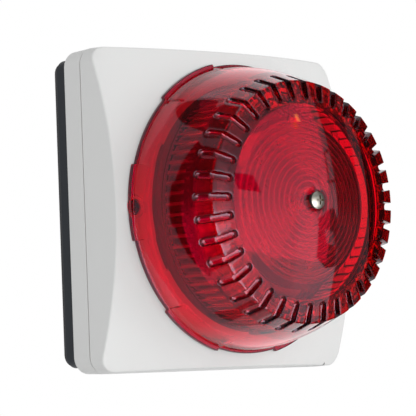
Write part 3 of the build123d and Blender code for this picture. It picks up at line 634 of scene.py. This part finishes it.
def dress_cad_nodes():
    """Give every CAD node the finish of its material slot."""
    for part in frame["record"]["subparts"]:
        node = frame["nodes"][part["node"]]
        node.data.materials.clear()
        node.data.materials.append(FINISH_OF_SLOT[part["material_slot"]])
    frame["nodes"]["deck"].data.materials[0] = DECK_WITH_PAINTED_SHADE
    frame["nodes"]["led_pedestal"].data.materials[0] = GREY_PLASTIC
    for name in ("cover_screws", "led_screws"):
        frame["nodes"][name].data.materials[0] = BLACKENED
    dress_screw(frame["nodes"]["lens_screw"].data)


# ---------------------------------------------------------------- lens
def tab_columns():
    """Column angles of one wedge, in degrees from the tab's middle.

    Near the tab's two ends the columns close up, so that the ends are steep."""
    angles = WEDGE.copy()
    close = [11.6, 13.2, *(TAB_SPAN / 2 + offset for offset in TAB_END), 16.6, 18.0]
    for column, angle in enumerate(close, start=11):
        for side in (-1, 1):
            angles[WEDGE == side * column] = side * angle
    return angles


def flange_radius(angles):
    """Outer radius of the flange at each column: tabs, and the bare flange between."""
    share = np.interp(np.abs(angles), [TAB_SPAN / 2 + offset for offset in TAB_END], TAB_END_SHARE)
    return FLANGE_R + (TAB_R - FLANGE_R) * share


def lens_band():
    """Outer outline of the grooved band, the floor of a groove under it, and three places along the outline:
    the grooves' rear, the crest, and the grooves' inner end."""
    skirt = arc_through((SKIRT_FOOT_R, FLANGE_TOP), SKIRT_MID, GROOVE_REAR, 60)
    start = next(p for p in skirt if p[1] > BAND_REAR)
    crest = (RIM_R, lens_front(RIM_R))
    face = dome_points(RIM_R, BAND_INNER_R, LENS_SPHERE, LENS_APEX, 14)
    top = rounded([start, GROOVE_REAR, SKIRT_TOP, crest, face[3]], {2: 9.0, 3: 1.5}, 10)
    outer = Path(top + face[4:])
    inner_depth = lens_front(GROOVE_INNER_R)
    floor_rear = (GROOVE_FLOOR_R, GROOVE_REAR[1])
    floor_inner = (GROOVE_INNER_R, inner_depth - GROOVE_DEEP)
    floor = Path(rounded([floor_rear, GROOVE_CORNER, floor_inner], {1: 2.0}, 8))
    marks = [outer.where(GROOVE_REAR), outer.where(crest), outer.where((GROOVE_INNER_R, inner_depth))]
    return outer, floor, marks


def groove_wedge(outer, floor, marks):
    """Rings of points round one groove, each (radii, angles, depths), and the two ends of their border."""
    rear, crest, inner = marks
    margin, bend, columns = 1.7, 2.2, 10
    low, high = rear - margin, inner + margin
    near_rear, near_inner = rear + GROOVE_HALF, inner - GROOVE_HALF
    before, after = crest - bend, crest + bend
    stations = np.concatenate([np.linspace(near_rear, before, 8)[:-1], np.linspace(before, after, 11),
                               np.linspace(after, near_inner, 8)[1:]])
    outside = np.interp(stations, [near_rear, before, after, near_inner], [low, before, after, high])
    half_sector = radians(GROOVE_STEP / 2)

    def frame_points():
        across = np.linspace(-1, 1, columns + 1)
        rear_row = [(a * half_sector * outer.at(low)[0], low) for a in across]
        right = [(half_sector * outer.at(s)[0], s) for s in outside]
        front_row = [(a * half_sector * outer.at(high)[0], high) for a in across[::-1]]
        left = [(-half_sector * outer.at(s)[0], s) for s in outside[::-1]]
        return np.array(rear_row[:-1] + right[:-1] + front_row[:-1] + left[:-1])

    def stadium(grow):
        radius = max(GROOVE_HALF + grow, 0)
        turn = np.linspace(pi, 2 * pi, columns + 1)
        rear_arc = [(radius * cos(t), near_rear + radius * sin(t)) for t in turn]
        right = [(radius, s) for s in stations]
        front_arc = [(radius * cos(t), near_inner + radius * sin(t)) for t in turn - pi]
        left = [(-radius, s) for s in stations[::-1]]
        return np.array(rear_arc[:-1] + right[:-1] + front_arc[:-1] + left[:-1])

    border = frame_points()
    lip = stadium(0.22)
    rings = [(border, 0, 0), (border * 0.5 + lip * 0.5, 0, 0), (lip, 0, 0)]
    rings += [(stadium(grow), top, bottom) for grow, top, bottom in (
        (0.10, 0.03, 0), (0.03, 0.09, 0), (0.0, 0.22, 0), (-0.05, 0, 1.1), (-0.2, 0, 0.7), (-0.45, 0, 0.38),
        (-0.8, 0, 0.16), (-1.3, 0, 0.04), (-GROOVE_HALF, 0, 0))]
    grid = []
    for ring, (points, from_top, from_floor) in enumerate(rings):
        side, along = points[:, 0], points[:, 1]
        top = outer.at(along)
        floor_s = np.interp(along, [rear, crest, inner], [0, floor.where(GROOVE_CORNER), floor.length])
        beyond = ((along < rear) | (along > inner))[:, None]
        bottom = floor.at(floor_s)
        bottom += np.where(beyond, top - outer.at(np.clip(along, rear, inner)), 0)
        deep = np.hypot(*(top - bottom).T)
        share = np.zeros(len(points)) if ring < 3 else from_top / deep if from_top else 1 - from_floor / deep
        middle = top + (bottom - top) * share[:, None]
        angle = np.degrees(side / middle[:, 0])
        grid.append((middle[:, 0], angle, middle[:, 1]))
    return grid, low, high


def lens_rest(outer, low):
    """Outlines of the plain skirt, from the grooved band down, and of its foot on the flange."""
    start = tuple(outer.at(low))
    arc = arc_through((SKIRT_FOOT_R, FLANGE_TOP), SKIRT_MID, GROOVE_REAR, 26)
    skirt = [start] + [p for p in arc[::-1] if FLANGE_TOP + 1.2 < p[1] < start[1] - 0.4]
    foot = [(SKIRT_FOOT_R, FLANGE_TOP + 0.3), (SKIRT_FOOT_R + 0.07, FLANGE_TOP + 0.08),
            (SKIRT_FOOT_R + 0.18, FLANGE_TOP)]
    return skirt, foot


def lens_inside():
    """Outline of the inner side, from the seat over the inner dome and through the hub to the front."""
    sphere, apex = LENS_SPHERE - LENS_WALL, LENS_APEX - LENS_WALL
    wall = arc_through((LENS_FOOT_R, LENS_UNDER), INNER_MID, INNER_SHOULDER, 16)
    on_face = [(r, dome(r, sphere, apex)) for r in (INNER_FACE_R, 40.0)]
    corner = rounded([wall[-2], INNER_SHOULDER, INNER_CORNER, *on_face], {1: 1.2, 2: 1.2, 3: 3.0}, 4)
    face = dome_points(38.0, HUB_R + 0.3, sphere, apex, 12)
    lip = lens_front(SCREW_SEAT_R + HUB_LIP)
    hub = [(HUB_R, face[-1][1] + 0.3), (HUB_R, SCREW_SEAT), (SCREW_SEAT_R - 0.3, SCREW_SEAT),
           (SCREW_SEAT_R, SCREW_SEAT + 0.2), (SCREW_SEAT_R, lip - 0.3), (SCREW_SEAT_R + 0.08, lip - 0.08),
           (SCREW_SEAT_R + HUB_LIP, lip)]
    edge = [(LENS_FOOT_R + 0.3, LENS_UNDER), (LENS_FOOT_R + 0.06, LENS_UNDER + 0.06)]
    return edge + [(wall[0][0] - 0.02, LENS_UNDER + 0.35)] + wall[1:-2] + corner + face + hub


def lens_rows(outer, low, high):
    """Rows of points of one wedge outside its grooves, and how much painted shade each row gets at the
    flange's rim.
    """
    closing = tab_columns()
    edge_r = flange_radius(closing)
    slope_reach = TAB_SHARE * (edge_r - FLANGE_R)
    skirt, foot = lens_rest(outer, low)
    rows = []
    for i, (radius, depth) in enumerate(skirt):
        share = np.clip((i - 2) / max(len(skirt) - 4, 1), 0, 1)
        angles = WEDGE + (closing - WEDGE) * share
        spread = TAB_SHARE * (flange_radius(angles) - FLANGE_R)
        slope = np.clip((TAB_TOP - depth) / (TAB_TOP - FLANGE_TOP), 0, 1)
        rows.append(placed(radius + spread * slope, angles, depth))
    for radius, depth in foot:
        rows.append(placed(radius + slope_reach, closing, depth))
    edges = [0] * len(rows)
    # rows round the flange's rim; an edge value of 1 paints them dark as painted shade
    for inset, depth, edge in ((9.0, FLANGE_TOP, 0), (0.5, FLANGE_TOP, 0), (0.3, FLANGE_TOP, 1),
                               (0.1, FLANGE_TOP - 0.1, 1), (0.0, FLANGE_TOP - 0.35, 1),
                               (0.0, LENS_UNDER + 0.3, 1), (0.1, LENS_UNDER + 0.08, 1), (0.3, LENS_UNDER, 0)):
        rows.append(placed(np.maximum(edge_r - inset, SKIRT_FOOT_R + 0.26 + slope_reach), closing, depth))
        edges.append(edge)
    for radius, depth in lens_inside():
        rows.append(placed(np.full_like(WEDGE, radius), WEDGE, depth))
    band_r, band_depth = outer.at(high)
    face = [(r, lens_front(r)) for r in np.linspace(SCREW_SEAT_R + HUB_LIP, band_r, 16)[1:-1]]
    for radius, depth in face + [(band_r, band_depth)]:
        rows.append(placed(np.full_like(WEDGE, radius), WEDGE, depth))
    edges += [0] * (len(rows) - len(edges))
    return np.stack(rows), edges


def lens_piece():
    """The red lens: a sixth of it is built and repeated round the axis."""
    outer, floor, marks = lens_band()
    rings, low, high = groove_wedge(outer, floor, marks)
    rows, edges = lens_rows(outer, low, high)
    groove_wall_shade = [0, 0, 0.3] + [1] * 5 + [0.5] + [0] * (len(rings) - 9)      # painted shade: dark from the lip down the groove's wall
    grids = [(rows, False, edges)]
    for centre in range(WEDGE_START + GROOVE_STEP // 2, WEDGE_END, GROOVE_STEP):
        grids.append((np.stack([placed(r, a + centre, d) for r, a, d in rings]), True, groove_wall_shade))
    piece = joined_grids("lens_moulding", grids)
    piece.data.transform(Matrix.Rotation(radians(-TAB_MIDDLE), 4, "Y"))
    repeated(piece, TAB_COUNT, RED_LENS)
    shade(piece, 40)
    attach(piece, "lens_unit")
    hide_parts("lens")


# ---------------------------------------------------------------- inner optic
def optic_foot():
    """Outline of the cup's foot, from its inner edge to the low end of the flutes."""
    seat, top = OPTIC_FOOT, OPTIC_FOOT + 2.0
    band_r, band_top = OPTIC_BAND
    return [(OPTIC_R - OPTIC_WALL, seat), (OPTIC_FOOT_R - 0.2, seat), (OPTIC_FOOT_R, seat + 0.2),
            (OPTIC_FOOT_R, top - 0.3), (OPTIC_FOOT_R - 0.3, top), (band_r + 0.3, top), (band_r, top + 0.3),
            (band_r, band_top - 0.1), (band_r - 0.04, band_top + 0.02), (OPTIC_R + 0.02, band_top + 0.22),
            (OPTIC_R, band_top + 0.35), (OPTIC_R, FLUTE_LOW)]


def optic_rings():
    """Outline of the rings, from the outermost inwards: a step down, a valley and a slope up to the crest."""
    points = []
    for i in reversed(range(RINGS)):
        inner = RING_FIRST_R + i * RING_PITCH
        outer = inner + RING_PITCH
        crest = dome(inner, OPTIC_SPHERE, OPTIC_APEX)
        edge = dome(outer, OPTIC_SPHERE, OPTIC_APEX)
        valley = edge - RING_DEEP
        points += [(outer, edge - 0.05), (outer - 0.12, valley)]
        points += [(inner + CREST_WIDE, crest + (valley - crest) * CREST_WIDE / RING_PITCH)]
        points += [(inner + 0.05, crest - 0.04)]
    return points


def optic_inside():
    """Outline of the screw hole and of the cup's inner side, down to its foot."""
    wall_in = OPTIC_R - OPTIC_WALL
    hole_top = dome(OPTIC_HOLE_R, OPTIC_SPHERE, OPTIC_APEX)
    sphere, apex = OPTIC_SPHERE - OPTIC_WALL, OPTIC_APEX - OPTIC_WALL
    hole = [(OPTIC_HOLE_R + 0.2, hole_top), (OPTIC_HOLE_R, hole_top - 0.2),
            (OPTIC_HOLE_R, dome(OPTIC_HOLE_R, sphere, apex))]
    face = dome_points(OPTIC_HOLE_R + 1.5, OPTIC_CROWN_R - 2, sphere, apex, 16)
    corner = [(wall_in - 1.2, OPTIC_SHOULDER - 0.6), (wall_in - 0.3, OPTIC_SHOULDER - 1.8),
              (wall_in, OPTIC_SHOULDER - 3.2)]
    return hole + face + corner + [(wall_in, z) for z in np.linspace(OPTIC_SHOULDER - 6, OPTIC_FOOT + 2, 8)]


def optic_outline():
    """Closed outline of the clear cup: (radius, depth, how much of a flute the point has)."""
    high = OPTIC_SHOULDER - 3.0
    flutes = [(OPTIC_R, FLUTE_LOW + FLUTE_RUN_OUT * t, sin(t * pi / 2)) for t in (0.25, 0.5, 0.75, 1)]
    flutes += [(OPTIC_R, z, 1) for z in np.linspace(FLUTE_LOW + 2, high - 2, 12)]
    flutes += [(OPTIC_R, high - FLUTE_RUN_OUT * t, sin(t * pi / 2)) for t in (1, 0.75, 0.5, 0.25, 0)]
    crown = (OPTIC_CROWN_R, dome(OPTIC_CROWN_R, OPTIC_SPHERE, OPTIC_APEX))
    shoulder = rounded([(OPTIC_R, high + 0.6), (OPTIC_R, OPTIC_SHOULDER + 1.2), crown], {1: 3.2}, 10)
    face = dome_points(OPTIC_CROWN_R - 1, RING_LAST_R + 0.2, OPTIC_SPHERE, OPTIC_APEX, 8)
    plain = shoulder + face + optic_rings() + optic_inside()
    points = [(r, d, 0) for r, d in optic_foot()] + flutes + [(r, d, 0) for r, d in plain]
    return points + points[:1]


def frost_ridges(piece, half_ridge):
    """Frost the ridges on the left, half_ridge degrees to each side, and the rings' steps and crests.
    Frosting only the left ridges is painted light: bright bars on the lit side only; the grey steps and
    crests are painted highlights along the rings.
    """
    piece.data.materials.clear()
    for material in (CLEAR_OPTIC, FROSTED_OPTIC, RING_STEPS):
        piece.data.materials.append(material)
    x, y, z = face_values(piece.data, "center")
    facing = face_values(piece.data, "normal")
    step = 360 / FLUTES
    turn = np.degrees(np.arctan2(z, x))
    on_ridge = np.abs(turn - np.round(turn / step) * step) < half_ridge
    reach = np.hypot(x, z)
    low, high = FROSTED_DEPTH
    outside = reach > mm(OPTIC_R - OPTIC_WALL + 0.5)
    # painted light: only ridges on the left (x < 0) are frosted, so only that side shows bright bars
    lit_side_frost = on_ridge & (x < 0) & outside & (-y > mm(low)) & (-y < mm(high))
    radial = np.abs(facing[0] * x + facing[2] * z) / reach
    across = (reach / mm(1) - RING_FIRST_R) % RING_PITCH
    front = mm(OPTIC_APEX - OPTIC_SPHERE) + np.sqrt(np.maximum(mm(OPTIC_SPHERE) ** 2 - reach ** 2, 0))
    upper = -y > front - mm(RING_DEEP + 0.1)
    # painted highlights: the rings' steps and crests get the grey ring_steps finish
    steps = ((radial > 0.9) | (across < CREST_WIDE)) & upper
    steps &= (reach > mm(RING_FIRST_R)) & (reach < mm(RING_LAST_R + 0.5))
    piece.data.polygons.foreach_set("material_index", np.where(steps, 2, lit_side_frost).astype(np.int32))


def optic_piece():
    """Clear cup with flutes round its wall and rings in its dome."""
    half_step = 180 / FLUTES
    cutter_in = FLUTE_CUTTER_R - FLUTE_DEEP
    reach = np.degrees(sqrt(FLUTE_CUTTER_R ** 2 - cutter_in ** 2) / OPTIC_R)
    angles = np.array([-half_step, -(half_step + reach) / 2, -reach, -0.85 * reach, -0.5 * reach, 0,
                       0.5 * reach, 0.85 * reach, reach, (half_step + reach) / 2, half_step])
    side = np.radians(np.clip(np.abs(angles), 0, reach)) * OPTIC_R
    scallop = np.maximum(np.sqrt(np.maximum(FLUTE_CUTTER_R ** 2 - side ** 2, 0)) - cutter_in, 0)
    rows = [placed(radius - scallop * share, angles, depth) for radius, depth, share in optic_outline()]
    piece = joined_grids("fluted_optic", [(np.stack(rows), False, 0)])
    piece.data.transform(Matrix.Rotation(radians(-half_step), 4, "Y"))
    repeated(piece, FLUTES, CLEAR_OPTIC)
    frost_ridges(piece, half_step - 0.85 * reach)
    shade(piece, 40)
    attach(piece, "cover")
    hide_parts("inner_optic")


# ---------------------------------------------------------------- housing
def housing_pieces():
    """Smooth copies of the mouldings, which stand for their CAD nodes."""
    slots = {part["node"]: part["material_slot"] for part in frame["record"]["subparts"]}
    for node in ("front_cover", "rear_housing", "wall_bracket", "wall_gasket", "cover_seal"):
        piece = dressed_copy(node, node + "_moulding", FINISH_OF_SLOT[slots[node]])


# ---------------------------------------------------------------- camera and light
CAMERA_AZIMUTH = -41.313
CAMERA_ELEVATION = -3.875
CAMERA_ROLL = -2.205
CAMERA_AIM = (-12.2, -39.3, 1.1)
CAMERA_DISTANCE = 1238.9
FOCAL_LENGTH = 214.1
SENSOR = 36.0
LAMP_AIM = (0, -0.05, 0)
WORLD_LIGHT = 0.62


def camera():
    """Camera to the left of the device and a little below it."""
    data = bpy.data.cameras.new("camera")
    data.sensor_width = SENSOR
    data.lens = FOCAL_LENGTH
    data.clip_start = 0.05
    seat = bpy.data.objects.new("camera", data)
    bpy.context.scene.collection.objects.link(seat)
    swing = Matrix.Rotation(radians(CAMERA_AZIMUTH), 4, "Z")
    tilt = Matrix.Rotation(radians(90 - CAMERA_ELEVATION), 4, "X")
    roll = Matrix.Rotation(radians(CAMERA_ROLL), 4, "Z")
    aim = Vector([mm(v) for v in CAMERA_AIM])
    back = Matrix.Translation((0, 0, mm(CAMERA_DISTANCE)))
    seat.matrix_world = Matrix.Translation(aim) @ (swing @ tilt @ roll) @ back
    bpy.context.scene.camera = seat


def soft_box(name, place, size, power):
    """Rectangular area lamp that faces the device."""
    data = bpy.data.lights.new(name, "AREA")
    data.shape = "RECTANGLE"
    data.size, data.size_y = size
    data.energy = power
    lamp = bpy.data.objects.new(name, data)
    bpy.context.scene.collection.objects.link(lamp)
    lamp.location = place
    lamp.rotation_euler = (Vector(LAMP_AIM) - Vector(place)).to_track_quat("-Z", "Y").to_euler()
    lamp.visible_glossy = False


def world():
    """Even grey surroundings, white where camera, mirror or transmission rays see them."""
    place = bpy.data.worlds.new("studio")
    bpy.context.scene.world = place
    place.use_nodes = True
    nodes, link = place.node_tree.nodes, place.node_tree.links.new
    back = nodes["Background"]
    back.inputs["Color"].default_value = (1, 1, 1, 1)
    ray = nodes.new("ShaderNodeLightPath")
    shown = ray.outputs["Is Camera Ray"]
    for label in ("Is Glossy Ray", "Is Transmission Ray"):
        either = nodes.new("ShaderNodeMath")
        either.operation = "MAXIMUM"
        link(shown, either.inputs[0])
        link(ray.outputs[label], either.inputs[1])
        shown = either.outputs[0]
    strength = nodes.new("ShaderNodeMapRange")
    strength.inputs["To Min"].default_value = WORLD_LIGHT
    strength.inputs["To Max"].default_value = 1.0
    link(shown, strength.inputs["Value"])
    link(strength.outputs[0], back.inputs["Strength"])


# ---------------------------------------------------------------- cards
def bar(start, end, shift):
    """Corners of a narrow card from start to end, as wide as the shift."""
    return [start, end, tuple(np.add(end, shift)), tuple(np.add(start, shift))]


CARD_DISTANCE = 5.0
CARD_GAP = 0.05                   # from one layer of cards to the next
CARDS = {
    "sweep_front": ((-90, 16), (-62, 60), {
        "at": (-62, -12, 2, 14, 45, 60), "level": (4.5, 4.2, 1.2, 0.65, 0.25, 0.1)}),
    "sweep_right": ((16, 36.5), (-62, 60), {
        "at": (-62, -30, -12, 0, 8, 22, 60), "level": (0.3, 1.1, 1.15, 0.85, 0.6, 0.35, 0.1)}),
    "panel": ((36.5, 50.5), (-62, 60), {
        "at": (-62, -30, -12, 0, 8, 22, 60), "level": (0.3, 1.0, 1.35, 1.0, 0.65, 0.4, 0.1)}),
    "dark_room": ((50.5, 59.5), (-62, 60), {"at": (-62, 0, 4, 60), "level": (0.25, 0.2, 0.06, 0.06)}),
    "door_gap": ((59.5, 63), (-62, 60), {"at": (-62, -10, 20, 60), "level": (0.1, 0.28, 0.22, 0.05)}),
    "far_room": ((63, 121), (-62, 60), {"at": (-62, 60), "level": (0.02, 0.02)}),
    "rear_light": ((121, 180), (-62, 62), {
        "at": (121, 135, 150, 180), "level": (1.5, 1.3, 0.9, 0.5), "across": True}),
    "backdrop": ((-180, -90), (-66, 72), {"at": (-66, -40, 40, 72), "level": (0.55, 0.45, 0.42, 0.5)}),
    "under": ((-180, 180), (-90, -62), {"at": (-90, -62), "level": (0.6, 0.6)}),
}
NEAR_CARDS = {
    "gap": ((-106, -90), (-62, 60), {"at": (-62, -50, -38, 60), "level": (0.15, 0.15, 0.02, 0.02)}),
    "gap_bulge": ((-107.4, -97), (-15, 21), {"at": (-15, 21), "level": (0.02, 0.02), "round": True}),
    "ceiling_gap": ((-175, -100), (56, 71), {"at": (56, 71), "level": (0.05, 0.05), "round": True}),
    "shadow_below": ((165, 195), (-90, -66), {"at": (-90, -66), "level": (0.15, 0.15)}),
}
FRAME_BAR = 0.5                   # width of the frame's bars, in degrees
SMALL_CARDS = {
    "shelf": dict(corners=[(17.0, 10.0), (23.5, 9.3), (25.3, 5.5), (18.8, 6.3)], level=0.02),
    "screen": dict(corners=[(43.5, 1.3), (49.0, 2.6), (50.5, 0.6), (50.3, -8.4), (47.0, -9.0), (43.4, -7.2)],
                   level=0.12),
    "frame_side": dict(corners=bar((48.2, 13.0), (48.0, 7.3), (FRAME_BAR, 0)), level=0.05),
    "frame_top": dict(corners=bar((48.3, 13.1), (51.3, 14.0), (0, -FRAME_BAR)), level=0.05),
    "frame_foot": dict(corners=bar((48.1, 7.6), (50.6, 7.9), (0, -FRAME_BAR)), level=0.05),
    "warm_lamp": dict(corners=[(41.4, 21.2), (42.7, 21.2), (43.0, 19.6), (41.8, 19.6)], level=5.0,
                      tint=(1.0, 0.50, 0.14)),
    "warm_lamp_low": dict(corners=[(40.2, 19.6), (41.4, 19.6), (41.4, 18.3), (40.4, 18.3)], level=2.5,
                          tint=(1.0, 0.32, 0.06)),
    "screen_glow": dict(corners=[(45.6, -1.5), (48.8, -2.0), (49.8, -4.7), (46.5, -4.1)], level=0.6, layer=3),
}


def card_glow(name, tint=(1, 1, 1)):
    """Material whose brightness each card holds in its own attribute."""
    material = bpy.data.materials.new(name + "_glow")
    material.use_nodes = True
    material.cycles.emission_sampling = "NONE"
    nodes, link = material.node_tree.nodes, material.node_tree.links.new
    nodes.remove(nodes["Principled BSDF"])
    lit = nodes.new("ShaderNodeEmission")
    level = nodes.new("ShaderNodeAttribute")
    level.attribute_name = "glow"
    lit.inputs["Color"].default_value = (*tint, 1)
    link(level.outputs["Fac"], lit.inputs["Strength"])
    link(lit.outputs[0], nodes["Material Output"].inputs["Surface"])
    return material


def place_card(name, turn, lift, layer, faces, levels, material):
    """Card through the given directions, in degrees to the right of the front and up.

    It is hidden from camera, diffuse and shadow rays. It still shows in gloss and through clear parts, and
    lights what lies behind them. A higher layer stands before the others."""
    turn, lift = np.radians(turn), np.radians(lift)
    points = np.stack([np.sin(turn) * np.cos(lift), -np.cos(turn) * np.cos(lift), np.sin(lift)], -1)
    piece = new_object(name, points.reshape(-1, 3) * (CARD_DISTANCE - CARD_GAP * layer), faces)
    mark_points(piece, "glow", levels)
    piece.data.materials.append(material)
    for kind in ("camera", "diffuse", "shadow", "volume_scatter"):
        setattr(piece, "visible_" + kind, False)


def studio_card(name, across, up, glow, material, layer=0):
    """Card round the device, between two directions across and two up, in degrees.

    glow lists (degrees, brightness) up the card, or across it where it says so. A round card's ends are
    half circles."""
    turns = np.linspace(*across, max(int(abs(across[1] - across[0]) / 4), 1) + 1)
    lifts = np.linspace(*up, max(int(abs(up[1] - up[0]) / (1 if glow.get("round") else 4)), 1) + 1)
    turn, lift = np.meshgrid(turns, lifts)
    if glow.get("round"):
        half_wide, half_high = (across[1] - across[0]) / 2, (up[1] - up[0]) / 2
        end = min(half_wide, half_high)
        beyond = np.clip(np.abs(lift - (up[0] + up[1]) / 2) - (half_high - end), 0, end) / end
        wide = half_wide - end * (1 - np.sqrt(1 - beyond ** 2))
        middle = (across[0] + across[1]) / 2
        turn = middle + (turn - middle) * wide / half_wide
    levels = np.interp((turn if glow.get("across") else lift).ravel(), glow["at"], glow["level"])
    place_card(name, turn, lift, layer, grid_faces(*turn.shape), levels, material)


def small_card(name, corners, level, tint=(1, 1, 1), layer=2):
    """Flat card between a few directions, each (degrees to the right, degrees up)."""
    turn, lift = np.array(corners).T
    place_card(name, turn, lift, layer, [range(len(corners))], [level] * len(corners), card_glow(name, tint))


def studio_cards():
    """All cards, from the far layer to the near one."""
    material = card_glow("card")
    for name, (across, up, glow) in CARDS.items():
        studio_card(name, across, up, glow, material)
    for name, (across, up, glow) in NEAR_CARDS.items():
        studio_card(name, across, up, glow, material, layer=1)
    for name, card in SMALL_CARDS.items():
        small_card(name, **card)


def floor():
    """Pale floor below the device, left out of its gloss and its clear parts."""
    half, height = 2, -0.45
    corners = [(-half, -half, height), (half, -half, height), (half, half, height), (-half, half, height)]
    piece = new_object("floor", corners, [(0, 1, 2, 3)])
    material, _ = new_material("floor_card", (0.8, 0.8, 0.8), 0.9)
    piece.data.materials.append(material)
    piece.visible_glossy = False
    piece.visible_transmission = False


# ---------------------------------------------------------------- scene
dress_cad_nodes()
lens_piece()
optic_piece()
housing_pieces()
camera()
world()
floor()
studio_cards()
soft_box("key", place=(0.9, -1.6, 0.3), size=(1.2, 1.2), power=20)
soft_box("fill", place=(-1.6, -0.9, 0.1), size=(1.0, 1.4), power=6.5)
bpy.context.scene.view_settings.view_transform = "Standard"
bpy.context.scene.cycles.max_bounces = 24
bpy.context.scene.cycles.glossy_bounces = 16
bpy.context.scene.cycles.transmission_bounces = 20
